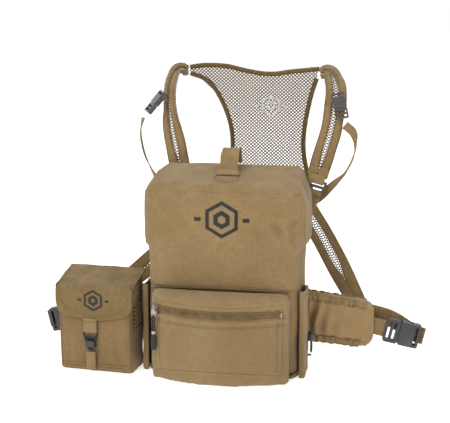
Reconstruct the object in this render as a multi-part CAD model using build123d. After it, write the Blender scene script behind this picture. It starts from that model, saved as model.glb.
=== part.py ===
from build123d import *
import math
import os

# A chest-worn binocular harness: a soft bucket with a forward-opening hood, a mesh yoke with shoulder
# straps, padded waist wings with side-release buckles, and an accessory pouch on the wearer's right wing.
# Millimetres. X runs across the pack, the front faces -Y, the wearer is on the +Y side, Z is up.
# The origin is on the floor, in the middle of the bucket's flat base.

# ---------------------------------------------------------------- driving dimensions: bucket and hood
BUCKET_W = 173.0
BUCKET_FRONT_Y = -38.0
BUCKET_BACK_Y = 42.0
BUCKET_CORNER_R = 26.0
BUCKET_BACK_CORNER_R = 8.0
BUCKET_WALL = 3.5
LOWER_BODY_H = 148.0
RIM_H = 42.0
RIM_STEP = 4.0
BASE_T = 6.0
STIFFENER_T = 2.0
STIFFENER_INSET = 12.0
HOOD_WALL = 3.0
HOOD_SIDE_CLEARANCE = 2.0
HOOD_RISE = 83.5
HOOD_FRONT_RISE = 68.5
HOOD_BACK_OVERHANG = 6.0
HOOD_SHOULDER_R = 24.0
HOOD_TAPER_START = 52.0
HOOD_TAPER = 11.5
SEAM_GAP = 0.5

# ---------------------------------------------------------------- back panel
BACK_PANEL_W = 168.0
BACK_PANEL_T = 8.0
BACK_PANEL_TOP = LOWER_BODY_H + 75.0
BACK_PANEL_CORNER_R = 22.0
BACK_SKIN = 1.5

# ---------------------------------------------------------------- front pocket and its zip
POCKET_W = 156.0
POCKET_SIDE_D = 10.0
POCKET_BULGE = 20.0
POCKET_H = 103.0
POCKET_CORNER_R = 9.0
POCKET_TOP_R = 9.0
ZIP_Z = 81.0
ZIP_TAPE_W = 9.0
ZIP_TAPE_T = 0.8
ZIP_TEETH_W = 3.4
ZIP_TEETH_T = 1.3
ZIP_HALF_RUN = 70.0
SLIDER_W = 7.0
SLIDER_H = 10.0
SLIDER_T = 2.8
EYE_H = 1.5
RUN_CLEARANCE = 0.4
PULL_STEM_L = 23.0
PULL_STEM_W = 3.0
PULL_GRIP_L = 20.0
PULL_GRIP_W = 6.4
PULL_GRIP_T = 3.6

# ---------------------------------------------------------------- side pockets and cord lock
SIDE_POCKET_GAP = 5.0
SIDE_POCKET_SKIN = 2.0
SIDE_POCKET_FRONT_Y = -26.0
SIDE_POCKET_BACK_Y = 8.0
SIDE_POCKET_RIB = 5.0
SIDE_POCKET_H = 101.0
CORD_LOCK_R = 4.2
CORD_LOCK_H = 8.0
CORD_LOCK_Z = 39.5
CORD_LOCK_Y = -6.0
BUTTON_R = 2.8
BUTTON_RISE = 3.4
BUTTON_TRAVEL = 2.0
ELASTIC_D = 2.0

# ---------------------------------------------------------------- magnets and pull tab
MAGNET_R = 6.0
MAGNET_T = 1.6
MAGNET_X = 52.0
TAB_W = 22.0
TAB_T = 2.2
TAB_PATCH_L = 30.0
TAB_PATCH_T = 1.2

# ---------------------------------------------------------------- webbing and buckles
WEB_W = 20.0
WEB_T = 1.4
SMALL_WEB_W = 10.0
STRAP_W = 25.0
STRAP_T = 5.0
ARM_W = 28.0
ARM_T = 3.0
YOKE_Y = 120.0
YOKE_T = 3.0
YOKE_BINDING_W = 5.5
YOKE_BINDING_T = 4.2
YOKE_FACETS = 10
LATCH_GAP = 0.4
LATCH_SWEEP = 1.2

# ---------------------------------------------------------------- waist wings
WING_L = 80.0
WING_T = 12.0
WING_ROOT_TOP = 91.0
WING_ROOT_BOTTOM = 34.0
WING_TIP_TOP = 79.0
WING_TIP_BOTTOM = 24.0
WING_TIP_R = 13.0
WING_EDGE_R = 2.5
WING_Y = 19.0

# ---------------------------------------------------------------- accessory pouch
POUCH_W = 88.0
POUCH_D = 46.0
POUCH_FRONT_H = 96.0
POUCH_BACK_H = 110.0
POUCH_WALL = 2.0
POUCH_FLOOR = 3.0
POUCH_CORNER_R = 6.0
POUCH_X = -(BUCKET_W / 2 + 56.7)
POUCH_Y = -18.1
POUCH_YAW = -6.0
FLAP_T = 2.4
FLAP_CLEARANCE = 1.2
FLAP_OVERHANG = 2.5
FLAP_BOTTOM_Z = 61.0
FLAP_SIDE_BOTTOM_Z = 80.0
CLOSURE_U = -4.0
FLAP_TAB_W = 16.0
PEG_Z = 32.0
PEG_R = 2.5
PEG_L = 4.0
HOOK_PLATE_T = 2.0
CLOSURE_CORD_D = 2.5
PULL_TAB_W = 11.0
PULL_TAB_T = 3.0
BAR_COUNT = 11
BAR_PITCH = 4.8
BAR_BOTTOM_Z = 50.0
LOOP_DEPTH = 23.0

os.makedirs("parts", exist_ok=True)

# Sizes worked out from the driving ones.
half_bucket = BUCKET_W / 2
hood_half_inner = half_bucket + HOOD_SIDE_CLEARANCE
hood_half = hood_half_inner + HOOD_WALL
hood_back_y = BUCKET_BACK_Y + HOOD_BACK_OVERHANG
hood_bottom = LOWER_BODY_H + SEAM_GAP
hood_top = LOWER_BODY_H + HOOD_RISE
back_face_y = BUCKET_BACK_Y + BACK_PANEL_T
pocket_edge_y = BUCKET_FRONT_Y - POCKET_SIDE_D
pocket_front_y = pocket_edge_y - POCKET_BULGE
pocket_arc_r = ((POCKET_W / 2) ** 2 + POCKET_BULGE ** 2) / (2 * POCKET_BULGE)
pocket_arc_y = pocket_front_y + pocket_arc_r
zip_face_r = pocket_arc_r + ZIP_TAPE_T + ZIP_TEETH_T
side_pocket_out = half_bucket + SIDE_POCKET_GAP + SIDE_POCKET_SKIN


def save(node, *solids):
    """Write one node's solids to its own STEP file."""
    shape = solids[0] if len(solids) == 1 else Compound(children=list(solids))
    export_step(shape, f"parts/{node}.step")
    return shape


def unit(x, y, z):
    """The unit vector along x, y, z."""
    return Vector(x, y, z).normalized()


def rounded_plan(half_width, front_y, back_y, front_r, back_r):
    """A plan face with two large front corners and two small back corners."""
    width = 2 * half_width
    depth = back_y - front_y
    blank = Pos(0, (front_y + back_y) / 2) * Rectangle(width, depth)
    front = blank.vertices().sort_by(Axis.Y)[:2]
    blank = fillet(front, front_r)
    if back_r > 0:
        back = blank.vertices().sort_by(Axis.Y)[-2:]
        blank = fillet(back, back_r)
    return blank


def block(x0, x1, y0, y1, z0, z1):
    """A box given by its two corners."""
    middle = Pos((x0 + x1) / 2, (y0 + y1) / 2, (z0 + z1) / 2)
    return middle * Box(x1 - x0, y1 - y0, z1 - z0)


def ribbon(stations, thickness):
    """A flat strap through stations of (centre, width direction, width), ruled from one to the next."""
    centres = [Vector(*centre) for centre, across, width in stations]
    sections = []
    for i, (centre, across, width) in enumerate(stations):
        before = centres[max(i - 1, 0)]
        after = centres[min(i + 1, len(centres) - 1)]
        along = (after - before).normalized()
        side = Vector(*across)
        side = (side - along * side.dot(along)).normalized()
        plane = Plane(origin=centres[i], x_dir=side, z_dir=along)
        sections.append(plane * Rectangle(width, thickness))
    return loft([section.face() for section in sections], ruled=True)


def band_face(points, thickness):
    """A face of even thickness that follows a smooth open line through 2-D points."""
    line = [Vector(*p) for p in points]
    outer = []
    inner = []
    for i, point in enumerate(line):
        before = line[max(i - 1, 0)]
        after = line[min(i + 1, len(line) - 1)]
        along = (after - before).normalized()
        normal = Vector(-along.Y, along.X) * (thickness / 2)
        outer.append(point + normal)
        inner.append(point - normal)
    edges = [Spline(*outer), Line(outer[-1], inner[-1]), Spline(*inner), Line(inner[0], outer[0])]
    return make_face(edges)


def bar_loop(width, bar_r, strand_l, thickness=WEB_T):
    """Webbing folded round a bar on the local Z axis, with two strands that run to local +X."""
    inner_r = bar_r + LATCH_GAP
    outer_r = inner_r + thickness
    ring = Circle(outer_r) - Circle(inner_r)
    ring -= Pos(outer_r / 2, 0) * Rectangle(outer_r, 2 * outer_r)
    strand = Rectangle(strand_l, thickness, align=(Align.MIN, Align.MIN))
    ring += Pos(0, inner_r) * strand
    ring += Pos(0, -outer_r) * strand
    return extrude(ring, width / 2, both=True)


# ================================================================ bucket
def bucket():
    """Bucket walls: a flush lower body and a stepped rim that the hood closes over."""
    lower = rounded_plan(half_bucket, BUCKET_FRONT_Y, BUCKET_BACK_Y, BUCKET_CORNER_R, BUCKET_BACK_CORNER_R)
    rim_r = BUCKET_CORNER_R - RIM_STEP
    rim = rounded_plan(half_bucket, BUCKET_FRONT_Y + RIM_STEP, BUCKET_BACK_Y, rim_r, BUCKET_BACK_CORNER_R)
    cavity_front = BUCKET_FRONT_Y + RIM_STEP + BUCKET_WALL
    cavity_back = BUCKET_BACK_Y - BUCKET_WALL
    cavity_r = rim_r - BUCKET_WALL
    cavity = rounded_plan(half_bucket - BUCKET_WALL, cavity_front, cavity_back, cavity_r, 4.0)
    walls = extrude(Pos(0, 0, BASE_T) * lower, LOWER_BODY_H - BASE_T)
    walls += extrude(Pos(0, 0, LOWER_BODY_H) * rim, RIM_H)
    walls -= extrude(Pos(0, 0, BASE_T) * cavity, LOWER_BODY_H + RIM_H)
    return walls


def base_pieces():
    """The flat base and the sheet sealed inside it."""
    plan = rounded_plan(half_bucket, BUCKET_FRONT_Y, BUCKET_BACK_Y, BUCKET_CORNER_R, BUCKET_BACK_CORNER_R)
    inset = STIFFENER_INSET
    sheet_plan = rounded_plan(half_bucket - inset, BUCKET_FRONT_Y + inset, BUCKET_BACK_Y - inset, 12.0, 8.0)
    sheet = extrude(Pos(0, 0, (BASE_T - STIFFENER_T) / 2) * sheet_plan, STIFFENER_T)
    base = extrude(plan, BASE_T) - sheet
    return base, sheet


def back_pieces():
    """The padded panel against the wearer and the foam sealed inside it."""
    outline = Pos(0, BACK_PANEL_TOP / 2) * Rectangle(BACK_PANEL_W, BACK_PANEL_TOP)
    outline = fillet(outline.vertices().sort_by(Axis.Y)[-2:], BACK_PANEL_CORNER_R)
    skin = 2 * BACK_SKIN
    inner = Pos(0, BACK_PANEL_TOP / 2) * Rectangle(BACK_PANEL_W - 4 * skin, BACK_PANEL_TOP - 4 * skin)
    inner = fillet(inner.vertices(), BACK_PANEL_CORNER_R - 2 * skin)
    face = Plane(origin=(0, back_face_y, 0), x_dir=(1, 0, 0), z_dir=(0, -1, 0))
    foam = extrude(face.offset(BACK_SKIN) * inner, BACK_PANEL_T - skin)
    panel = extrude(face * outline, BACK_PANEL_T) - foam
    return panel, foam


# ================================================================ hood
def hood_form(inset):
    """The hood's outer form, or with an inset the form inside its wall."""
    plan_r = BUCKET_CORNER_R - inset
    front_y = BUCKET_FRONT_Y + inset
    half = hood_half - inset
    reach = 30.0 if inset else 0.0
    bottom = hood_bottom - reach
    plan = rounded_plan(half, front_y, hood_back_y + reach, plan_r, 0)
    form = extrude(Pos(0, 0, bottom) * plan, hood_top + 20 - bottom)
    front_top = LOWER_BODY_H + HOOD_FRONT_RISE - inset
    slope = (HOOD_RISE - HOOD_FRONT_RISE) / (hood_back_y - BUCKET_FRONT_Y)
    far_y = hood_back_y + reach
    far_top = front_top + slope * (far_y - front_y)
    side = make_face(Polyline((front_y, bottom), (front_y, front_top), (far_y, far_top), (far_y, bottom),
                              close=True))
    corner = side.vertices().sort_by_distance((front_y, front_top))[:1]
    side = fillet(corner, HOOD_SHOULDER_R - inset)
    side_plane = Plane(origin=(0, 0, 0), x_dir=(0, 1, 0), z_dir=(1, 0, 0))
    form &= extrude(side_plane * side, 200, both=True)
    top = hood_top - inset + slope * reach
    break_z = LOWER_BODY_H + HOOD_TAPER_START
    top_half = hood_half - HOOD_TAPER - inset
    face = make_face(Polyline((-half, bottom), (-half, break_z), (-top_half, top), (top_half, top),
                              (half, break_z), (half, bottom), close=True))
    breaks = face.vertices().group_by(Axis.Y)[1]
    face = fillet(breaks, 30.0)
    corners = face.vertices().sort_by(Axis.Y)[-2:]
    face = fillet(corners, 9.0 - inset)
    front_plane = Plane(origin=(0, 0, 0), x_dir=(1, 0, 0), z_dir=(0, -1, 0))
    form &= extrude(front_plane * face, 200, both=True)
    return form


def magnet_discs(z):
    """Two thin round magnets side by side at one height above the back panel's middle."""
    y = BUCKET_BACK_Y + BACK_PANEL_T / 2 - 1.5
    return [Pos(x, y, z) * Cylinder(MAGNET_R, MAGNET_T) for x in (-MAGNET_X, MAGNET_X)]


def hood_top_z(y):
    """Height of the hood's outer top surface at y."""
    run = (y - BUCKET_FRONT_Y) / (hood_back_y - BUCKET_FRONT_Y)
    return LOWER_BODY_H + HOOD_FRONT_RISE + run * (HOOD_RISE - HOOD_FRONT_RISE)


def pull_tab():
    """The finger loop at the hood's rear edge and the stitched patch that it grows from."""
    foot_y = 12.0
    heel_y = 42.0
    foot = hood_top_z(foot_y) + TAB_T / 2
    heel = hood_top_z(heel_y) + TAB_T / 2
    crown = hood_top + 20.0
    line = [(foot_y - 6, foot - 1.0), (foot_y + 2, foot + 4), (foot_y + 7, crown - 8), (foot_y + 14, crown - 1.5),
            (foot_y + 22, crown), (heel_y - 1, crown - 4), (heel_y + 1.5, crown - 11), (heel_y, heel)]
    side_plane = Plane(origin=(0, 0, 0), x_dir=(0, 1, 0), z_dir=(1, 0, 0))
    return extrude(side_plane * band_face(line, TAB_T), TAB_W / 2, both=True)


def tab_patch():
    """The stitched patch under the pull tab, pointed towards the front."""
    slope = math.degrees(math.atan2(HOOD_RISE - HOOD_FRONT_RISE, hood_back_y - BUCKET_FRONT_Y))
    half = TAB_W / 2 + 5
    outline = make_face(Polyline((-half, 0), (0, -7.0), (half, 0), (half, TAB_PATCH_L), (-half, TAB_PATCH_L),
                                 close=True))
    start_y = -11.0
    place = Pos(0, start_y, hood_top_z(start_y) + 0.05) * Rot(slope, 0, 0)
    return place * extrude(outline, TAB_PATCH_T)


# ================================================================ front pocket and zip
def pocket():
    """The zipped front pocket as one closed soft body."""
    half = POCKET_W / 2
    edges = [Line((-half, BUCKET_FRONT_Y), (-half, pocket_edge_y)),
             ThreePointArc((-half, pocket_edge_y), (0, pocket_front_y), (half, pocket_edge_y)),
             Line((half, pocket_edge_y), (half, BUCKET_FRONT_Y)),
             Line((half, BUCKET_FRONT_Y), (-half, BUCKET_FRONT_Y))]
    plan = make_face(edges)
    corners = plan.vertices().group_by(Axis.Y)[0]
    plan = fillet(corners, POCKET_CORNER_R)
    body = extrude(plan, POCKET_H)
    top = [edge for edge in body.faces().sort_by(Axis.Z)[-1].edges()
           if edge.center().Y < BUCKET_FRONT_Y - 1]
    return fillet(top, POCKET_TOP_R)


def arc_strip(inner_r, outer_r, half_run, z, height):
    """A thin upright strip that follows the pocket's front."""
    sweep = math.degrees(math.asin(half_run / pocket_arc_r))
    a = math.radians(270 - sweep)
    b = math.radians(270 + sweep)
    ends = []
    for radius in (inner_r, outer_r):
        ends.append([(radius * math.cos(t), pocket_arc_y + radius * math.sin(t)) for t in (a, b)])
    (p0, p1), (q0, q1) = ends
    face = make_face([ThreePointArc(p0, (0, pocket_arc_y - inner_r), p1), Line(p1, q1),
                      ThreePointArc(q1, (0, pocket_arc_y - outer_r), q0), Line(q0, p0)])
    return extrude(Pos(0, 0, z - height / 2) * face, height)


def zip_tape():
    """Coil zip: a tape sewn to the pocket's front with one raised row of teeth."""
    tape = arc_strip(pocket_arc_r, pocket_arc_r + ZIP_TAPE_T, ZIP_HALF_RUN + 4, ZIP_Z, ZIP_TAPE_W)
    teeth = arc_strip(pocket_arc_r + ZIP_TAPE_T, zip_face_r, ZIP_HALF_RUN + 4, ZIP_Z, ZIP_TEETH_W)
    return tape + teeth


def slider_plane():
    """Plane at the zip slider's rest place: X along the zip, Y upright, Z out of the pocket."""
    turn = math.asin(ZIP_HALF_RUN / pocket_arc_r)
    out = Vector(-math.sin(turn), -math.cos(turn), 0)
    along = Vector(math.cos(turn), -math.sin(turn), 0)
    centre = Vector(0, pocket_arc_y, ZIP_Z) + out * (zip_face_r + RUN_CLEARANCE)
    return Plane(origin=centre, x_dir=along, z_dir=out)


def zip_slider():
    """The slider's shield, with a bridge over the pull's eye."""
    plane = slider_plane()
    shield = extrude(plane * RectangleRounded(SLIDER_W, SLIDER_H, 2.0), SLIDER_T - 1.0)
    bridge = extrude(plane.offset(SLIDER_T - 1.0) * (Pos(0, 1.6) * Rectangle(1.6, 5.6)), 3.0)
    eye = plane.offset(SLIDER_T) * (Pos(0, 1.6) * Rectangle(1.7, 3.2))
    return shield + bridge - extrude(eye, EYE_H)


def zip_pull_pieces():
    """The metal link through the slider's bridge, and the moulded grip that hangs from it."""
    plane = slider_plane().offset(SLIDER_T + 0.75)
    link = Pos(0, -1.2) * RectangleRounded(5.0, 5.0, 1.2)
    link -= Pos(0, -1.0) * RectangleRounded(3.0, 2.6, 0.5)
    link_solid = extrude(plane * link, 0.45, both=True)
    stem = Pos(0, -3.9 - PULL_STEM_L / 2) * Rectangle(PULL_STEM_W, PULL_STEM_L)
    grip_y = -3.9 - PULL_STEM_L
    grip = Pos(0, grip_y - PULL_GRIP_L / 2 + 1) * RectangleRounded(PULL_GRIP_W, PULL_GRIP_L, 2.8)
    moulded = extrude(plane * stem, 0.9, both=True)
    moulded += extrude(plane.offset(0.9) * grip, PULL_GRIP_T / 2, both=True)
    return link_solid, moulded


# ================================================================ side pockets and cord lock
def side_pocket(side):
    """A stretch pocket on one side: a skin held off the bucket by a rib at each end, open at the top."""
    inner = half_bucket
    skin = inner + SIDE_POCKET_GAP
    body = block(inner, side_pocket_out, SIDE_POCKET_FRONT_Y, SIDE_POCKET_BACK_Y, 0, SIDE_POCKET_H)
    rib = SIDE_POCKET_RIB
    slot_top = SIDE_POCKET_H + 5
    body -= block(inner, skin, SIDE_POCKET_FRONT_Y + rib, SIDE_POCKET_BACK_Y - rib, 4.0, slot_top)
    outside = [edge for edge in body.edges().filter_by(Axis.Z)
               if abs(edge.center().X - side_pocket_out) < 0.01]
    body = fillet(outside, SIDE_POCKET_SKIN - 0.3)
    return body if side > 0 else mirror(body, about=Plane.YZ)


def cord_lock_pieces():
    """Barrel, button, coil spring and elastic loop on the side pocket."""
    x = side_pocket_out + CORD_LOCK_R + 1.0
    axis = Pos(x, CORD_LOCK_Y, CORD_LOCK_Z)
    barrel = axis * Cylinder(CORD_LOCK_R, CORD_LOCK_H, align=(Align.CENTER, Align.CENTER, Align.MIN))
    lug = block(side_pocket_out, x - 1, CORD_LOCK_Y - 3, CORD_LOCK_Y + 3, CORD_LOCK_Z + 1, CORD_LOCK_Z + 6)
    bore_r = BUTTON_R + 0.35
    bore = axis * Pos(0, 0, 2.0) * Cylinder(bore_r, CORD_LOCK_H, align=(Align.CENTER, Align.CENTER, Align.MIN))
    legs = [-2.6, 2.6]
    seat = [Pos(x, CORD_LOCK_Y + leg, CORD_LOCK_Z + 0.7) * Cylinder(ELASTIC_D / 2, 1.4) for leg in legs]
    body = barrel + lug - bore
    for hole in seat:
        body -= hole
    button_z = CORD_LOCK_Z + CORD_LOCK_H - 2.4
    button_l = BUTTON_RISE + 2.4
    button = Pos(x, CORD_LOCK_Y, button_z) * Cylinder(BUTTON_R, button_l,
                                                      align=(Align.CENTER, Align.CENTER, Align.MIN))
    button = fillet(button.edges().sort_by(Axis.Z)[-1], 0.8)
    spring_h = button_z - (CORD_LOCK_Z + 2.0) - 0.5
    coil = Helix(pitch=1.1, height=spring_h - 0.6, radius=1.7)
    wire = Plane(origin=coil @ 0, z_dir=coil % 0) * Circle(0.22)
    spring = Pos(x, CORD_LOCK_Y, CORD_LOCK_Z + 2.4) * sweep(wire, path=coil)
    drop = CORD_LOCK_Z - 13.0
    line = [(x, CORD_LOCK_Y - legs[1], CORD_LOCK_Z), (x, CORD_LOCK_Y - 4.4, CORD_LOCK_Z - 6),
            (x, CORD_LOCK_Y - 3.2, drop), (x, CORD_LOCK_Y + 3.2, drop),
            (x, CORD_LOCK_Y + 4.4, CORD_LOCK_Z - 6), (x, CORD_LOCK_Y + legs[1], CORD_LOCK_Z)]
    path = FilletPolyline(*line, radius=[6.0, 2.8, 2.8, 6.0])
    start = Plane(origin=path @ 0, z_dir=path % 0) * Circle(ELASTIC_D / 2)
    loop = sweep(start, path=path)
    return body, button, spring, loop


# ================================================================ side-release buckles
def buckle(width, length, thickness):
    """A mated side-release buckle along local X: plug towards -X, socket towards +X, two latch arms."""
    half_l = length / 2
    half_w = width / 2
    half_t = thickness / 2
    wall = 0.16 * thickness + 0.4
    web = width - 7.5 if width > 20 else width - 4.0
    bar = 0.07 * length
    slot = 0.085 * length
    mouth = -0.08 * length
    plug_end = mouth - 0.3
    socket = block(mouth, half_l, -half_t, half_t, -half_w, half_w)
    socket = fillet(socket.edges().filter_by(Axis.Y), 0.09 * width)
    cavity_end = half_l - 2 * bar - slot
    cavity = block(mouth - 1, cavity_end, -half_t + wall, half_t - wall, -half_w + wall, half_w - wall)
    window_a = mouth + 0.13 * length
    window_b = mouth + 0.33 * length
    windows = block(window_a, window_b, -half_t + wall, half_t - wall, -half_w - 1, half_w + 1)
    slot_cut = block(half_l - bar - slot, half_l - bar, -half_t - 1, half_t + 1, -web / 2 - 0.5, web / 2 + 0.5)
    socket = socket - cavity - windows - slot_cut
    plug = block(-half_l, plug_end, -half_t + 0.6, half_t - 0.6, -half_w, half_w)
    plug = fillet(plug.edges().filter_by(Axis.Y), 0.09 * width)
    plug -= block(-half_l + bar, -half_l + bar + slot, -half_t - 1, half_t + 1, -web / 2 - 0.5, web / 2 + 0.5)
    second = -half_l + 2 * bar + slot
    plug -= block(second, second + slot, -half_t - 1, half_t + 1, -web / 2 - 0.5, web / 2 + 0.5)
    tongue_half_t = half_t - wall - LATCH_GAP
    plug += block(plug_end - 1, cavity_end - 2, -tongue_half_t, tongue_half_t, -0.09 * width, 0.09 * width)
    arms = []
    root = plug_end + 0.3
    arm_in = 0.22 * width
    arm_out = 0.22 * width + 0.09 * width
    for side in (1, -1):
        lo, hi = sorted((side * arm_in, side * arm_out))
        arm = block(root, window_b - LATCH_SWEEP, -tongue_half_t, tongue_half_t, lo, hi)
        lo, hi = sorted((side * arm_in, side * (half_w - 0.5)))
        arm += block(window_a + LATCH_GAP, window_b - LATCH_SWEEP, -tongue_half_t, tongue_half_t, lo, hi)
        arms.append(arm)
    socket_bar = half_l - bar / 2
    plug_bar = -half_l + bar / 2
    return plug, socket, arms, web, bar, socket_bar, plug_bar


def buckle_plane(plug_end, socket_end, across):
    """Plane at a buckle's middle: X from the plug's end to the socket's end, Z across the webbing."""
    start = Vector(*plug_end)
    end = Vector(*socket_end)
    along = (end - start).normalized()
    side = Vector(*across)
    side = (side - along * side.dot(along)).normalized()
    return Plane(origin=(start + end) * 0.5, x_dir=along, z_dir=side)


# ================================================================ harness
def yoke_pieces():
    """The mesh yoke between the shoulders and its sewn binding: a flat X behind the pack."""
    curves = [
        Spline((-66, 338), (-46, 340.5), (-20, 339.5), (6, 334), (32, 331), (58, 334.5), (90, 338)),
        Spline((90, 323), (83, 300), (77, 268), (75.5, 240), (80, 212), (89, 176)),
        Spline((67, 159), (48, 175), (30, 184), (8, 175), (-16, 157)),
        Spline((-34, 179), (-21, 212), (-16.5, 240), (-20, 270), (-33, 301), (-48, 318), (-66, 325)),
    ]
    corners = [curve @ (i / YOKE_FACETS) for curve in curves for i in range(YOKE_FACETS + 1)]
    outline = make_face(Polyline(*corners, close=True))
    inner = offset(outline, -YOKE_BINDING_W)
    plane = Plane(origin=(0, YOKE_Y, 0), x_dir=(1, 0, 0), z_dir=(0, -1, 0))
    mesh = extrude(plane.offset(-YOKE_T / 2) * inner, YOKE_T)
    bound = plane.offset(-YOKE_BINDING_T / 2)
    binding = extrude(bound * outline, YOKE_BINDING_T) - extrude(bound * inner, YOKE_BINDING_T)
    return mesh, binding


def shoulder_strap_left():
    """Left shoulder strap from the yoke's end over the shoulder to the ladder lock."""
    return [((-68.5, 118.3, 331.5), (-0.1, 0.0, 1.0), 13),
            ((-75.0, 112.0, 333.0), (-0.4, 0.5, 0.75), 18),
            ((-81.0, 100.0, 329.0), (-0.7, 0.65, -0.2), 22),
            ((-83.0, 86.0, 315.0), (-0.66, 0.72, -0.2), 24),
            ((-82.5, 78.0, 292.0), (-0.7, 0.68, -0.2), 24),
            ((-78.0, 71.0, 267.0), (-0.93, 0.3, -0.27), STRAP_W),
            ((-70.5, 62.0, 242.0), (-0.96, 0.0, -0.28), STRAP_W),
            ((-65.5, 56.5, 224.0), (-0.96, 0.0, -0.28), STRAP_W)]


def shoulder_strap_right():
    """Right shoulder strap from the yoke's end over the shoulder to the ladder lock."""
    return [((93.0, 118.0, 330.5), (-0.1, 0.0, 1.0), 14),
            ((99.5, 112.0, 333.0), (0.35, 0.5, 0.8), 19),
            ((108.0, 100.0, 329.5), (0.8, 0.5, -0.1), 24),
            ((113.5, 87.0, 315.0), (0.98, 0.15, 0.0), STRAP_W),
            ((113.0, 79.0, 294.0), (1.0, 0.0, 0.0), STRAP_W),
            ((109.5, 71.0, 268.0), (0.97, 0.0, -0.22), STRAP_W),
            ((101.5, 62.0, 238.0), (0.96, 0.0, -0.26), STRAP_W),
            ((97.0, 56.5, 221.0), (0.96, 0.0, -0.26), STRAP_W)]


LOCK_W = 27.0
LOCK_H = 15.0
LOCK_T = 4.4
LOCK_BAR = 3.0
LOCK_SLOT = 3.0
LOCK_HANG = 9.0


def lock_plane(strap):
    """Plane at a ladder lock's top bar: X down the strap, Z across it, hung below the strap's end."""
    end = Vector(*strap[-1][0])
    before = Vector(*strap[-2][0])
    run = end - before
    run = Vector(run.X, 0.25 * run.Y, run.Z).normalized()
    across = Vector(*strap[-1][1])
    across = (across - run * across.dot(run)).normalized()
    return Plane(origin=end + run * LOCK_HANG, x_dir=run, z_dir=across)


def ladder_lock():
    """A three-bar ladder lock, hanging along local +X from its top bar on the local Z axis."""
    body = block(-LOCK_BAR / 2, LOCK_H - LOCK_BAR / 2, -LOCK_T / 2, LOCK_T / 2, -LOCK_W / 2, LOCK_W / 2)
    body = fillet(body.edges().filter_by(Axis.Y), 2.0)
    for i in range(2):
        start = LOCK_BAR / 2 + i * (LOCK_BAR + LOCK_SLOT)
        body -= block(start, start + LOCK_SLOT, -LOCK_T, LOCK_T, -WEB_W / 2 - 0.6, WEB_W / 2 + 0.6)
    square_bar = Box(LOCK_BAR + 0.4, LOCK_T + 1, WEB_W + 1.2)
    round_bar = Cylinder(LOCK_BAR / 2 - 0.15, WEB_W + 3.2)
    for place in (Pos(0, 0, 0), Pos(LOCK_H - LOCK_BAR, 0, 0)):
        body = body - place * square_bar + place * round_bar
    return body


# ================================================================ waist wings
def wing_plane(side):
    """Plane of a wing's middle layer at its root: X outwards along the wing, Y up."""
    sweep_angle = math.radians(7.0 if side > 0 else 3.0)
    y = WING_Y if side > 0 else WING_Y - 2
    along = Vector(side * math.cos(sweep_angle), math.sin(sweep_angle), 0)
    root = Vector(side * (half_bucket + 1.0), y, 0)
    return Plane(origin=root, x_dir=along, z_dir=along.cross(Vector(0, 0, 1)))


def wing(side):
    """One padded waist wing as a closed soft body."""
    outline = make_face(Polyline((0, WING_ROOT_BOTTOM), (0, WING_ROOT_TOP), (WING_L, WING_TIP_TOP),
                                 (WING_L, WING_TIP_BOTTOM), close=True))
    tips = outline.vertices().sort_by(Axis.X)[-2:]
    outline = fillet(tips, WING_TIP_R)
    solid = extrude(wing_plane(side) * outline, WING_T / 2, both=True)
    return fillet([edge for edge in solid.edges() if edge.length > 0.5 * WING_L], WING_EDGE_R)


# ================================================================ pouch
pouch_frame = Plane(origin=(POUCH_X, POUCH_Y, 0), x_dir=unit(math.cos(math.radians(POUCH_YAW)),
                                                          math.sin(math.radians(POUCH_YAW)), 0),
                    z_dir=(0, 0, 1))
front_v = -POUCH_D / 2
back_v = POUCH_D / 2
flap_in_v = front_v - FLAP_CLEARANCE
hinge_v = back_v
hinge_z = POUCH_BACK_H + FLAP_CLEARANCE + FLAP_T / 2


def in_pouch(shape):
    """Move a shape from the pouch's own frame to the pack's frame."""
    return pouch_frame.location * shape


def pouch_body():
    """The pouch: four walls and a floor, its rim sloping down to the front."""
    outline = fillet(Rectangle(POUCH_W, POUCH_D).vertices(), POUCH_CORNER_R)
    wall = POUCH_WALL
    inside = fillet(Rectangle(POUCH_W - 2 * wall, POUCH_D - 2 * wall).vertices(), POUCH_CORNER_R - wall)
    body = extrude(outline, POUCH_BACK_H) - extrude(Pos(0, 0, POUCH_FLOOR) * inside, POUCH_BACK_H)
    side_plane = Plane(origin=(0, 0, 0), x_dir=(0, 1, 0), z_dir=(1, 0, 0))
    above = make_face(Polyline((front_v - 1, POUCH_FRONT_H), (back_v + 1, POUCH_BACK_H),
                               (back_v + 1, POUCH_BACK_H + 9), (front_v - 1, POUCH_BACK_H + 9), close=True))
    return body - extrude(side_plane * above, POUCH_W, both=True)


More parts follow.
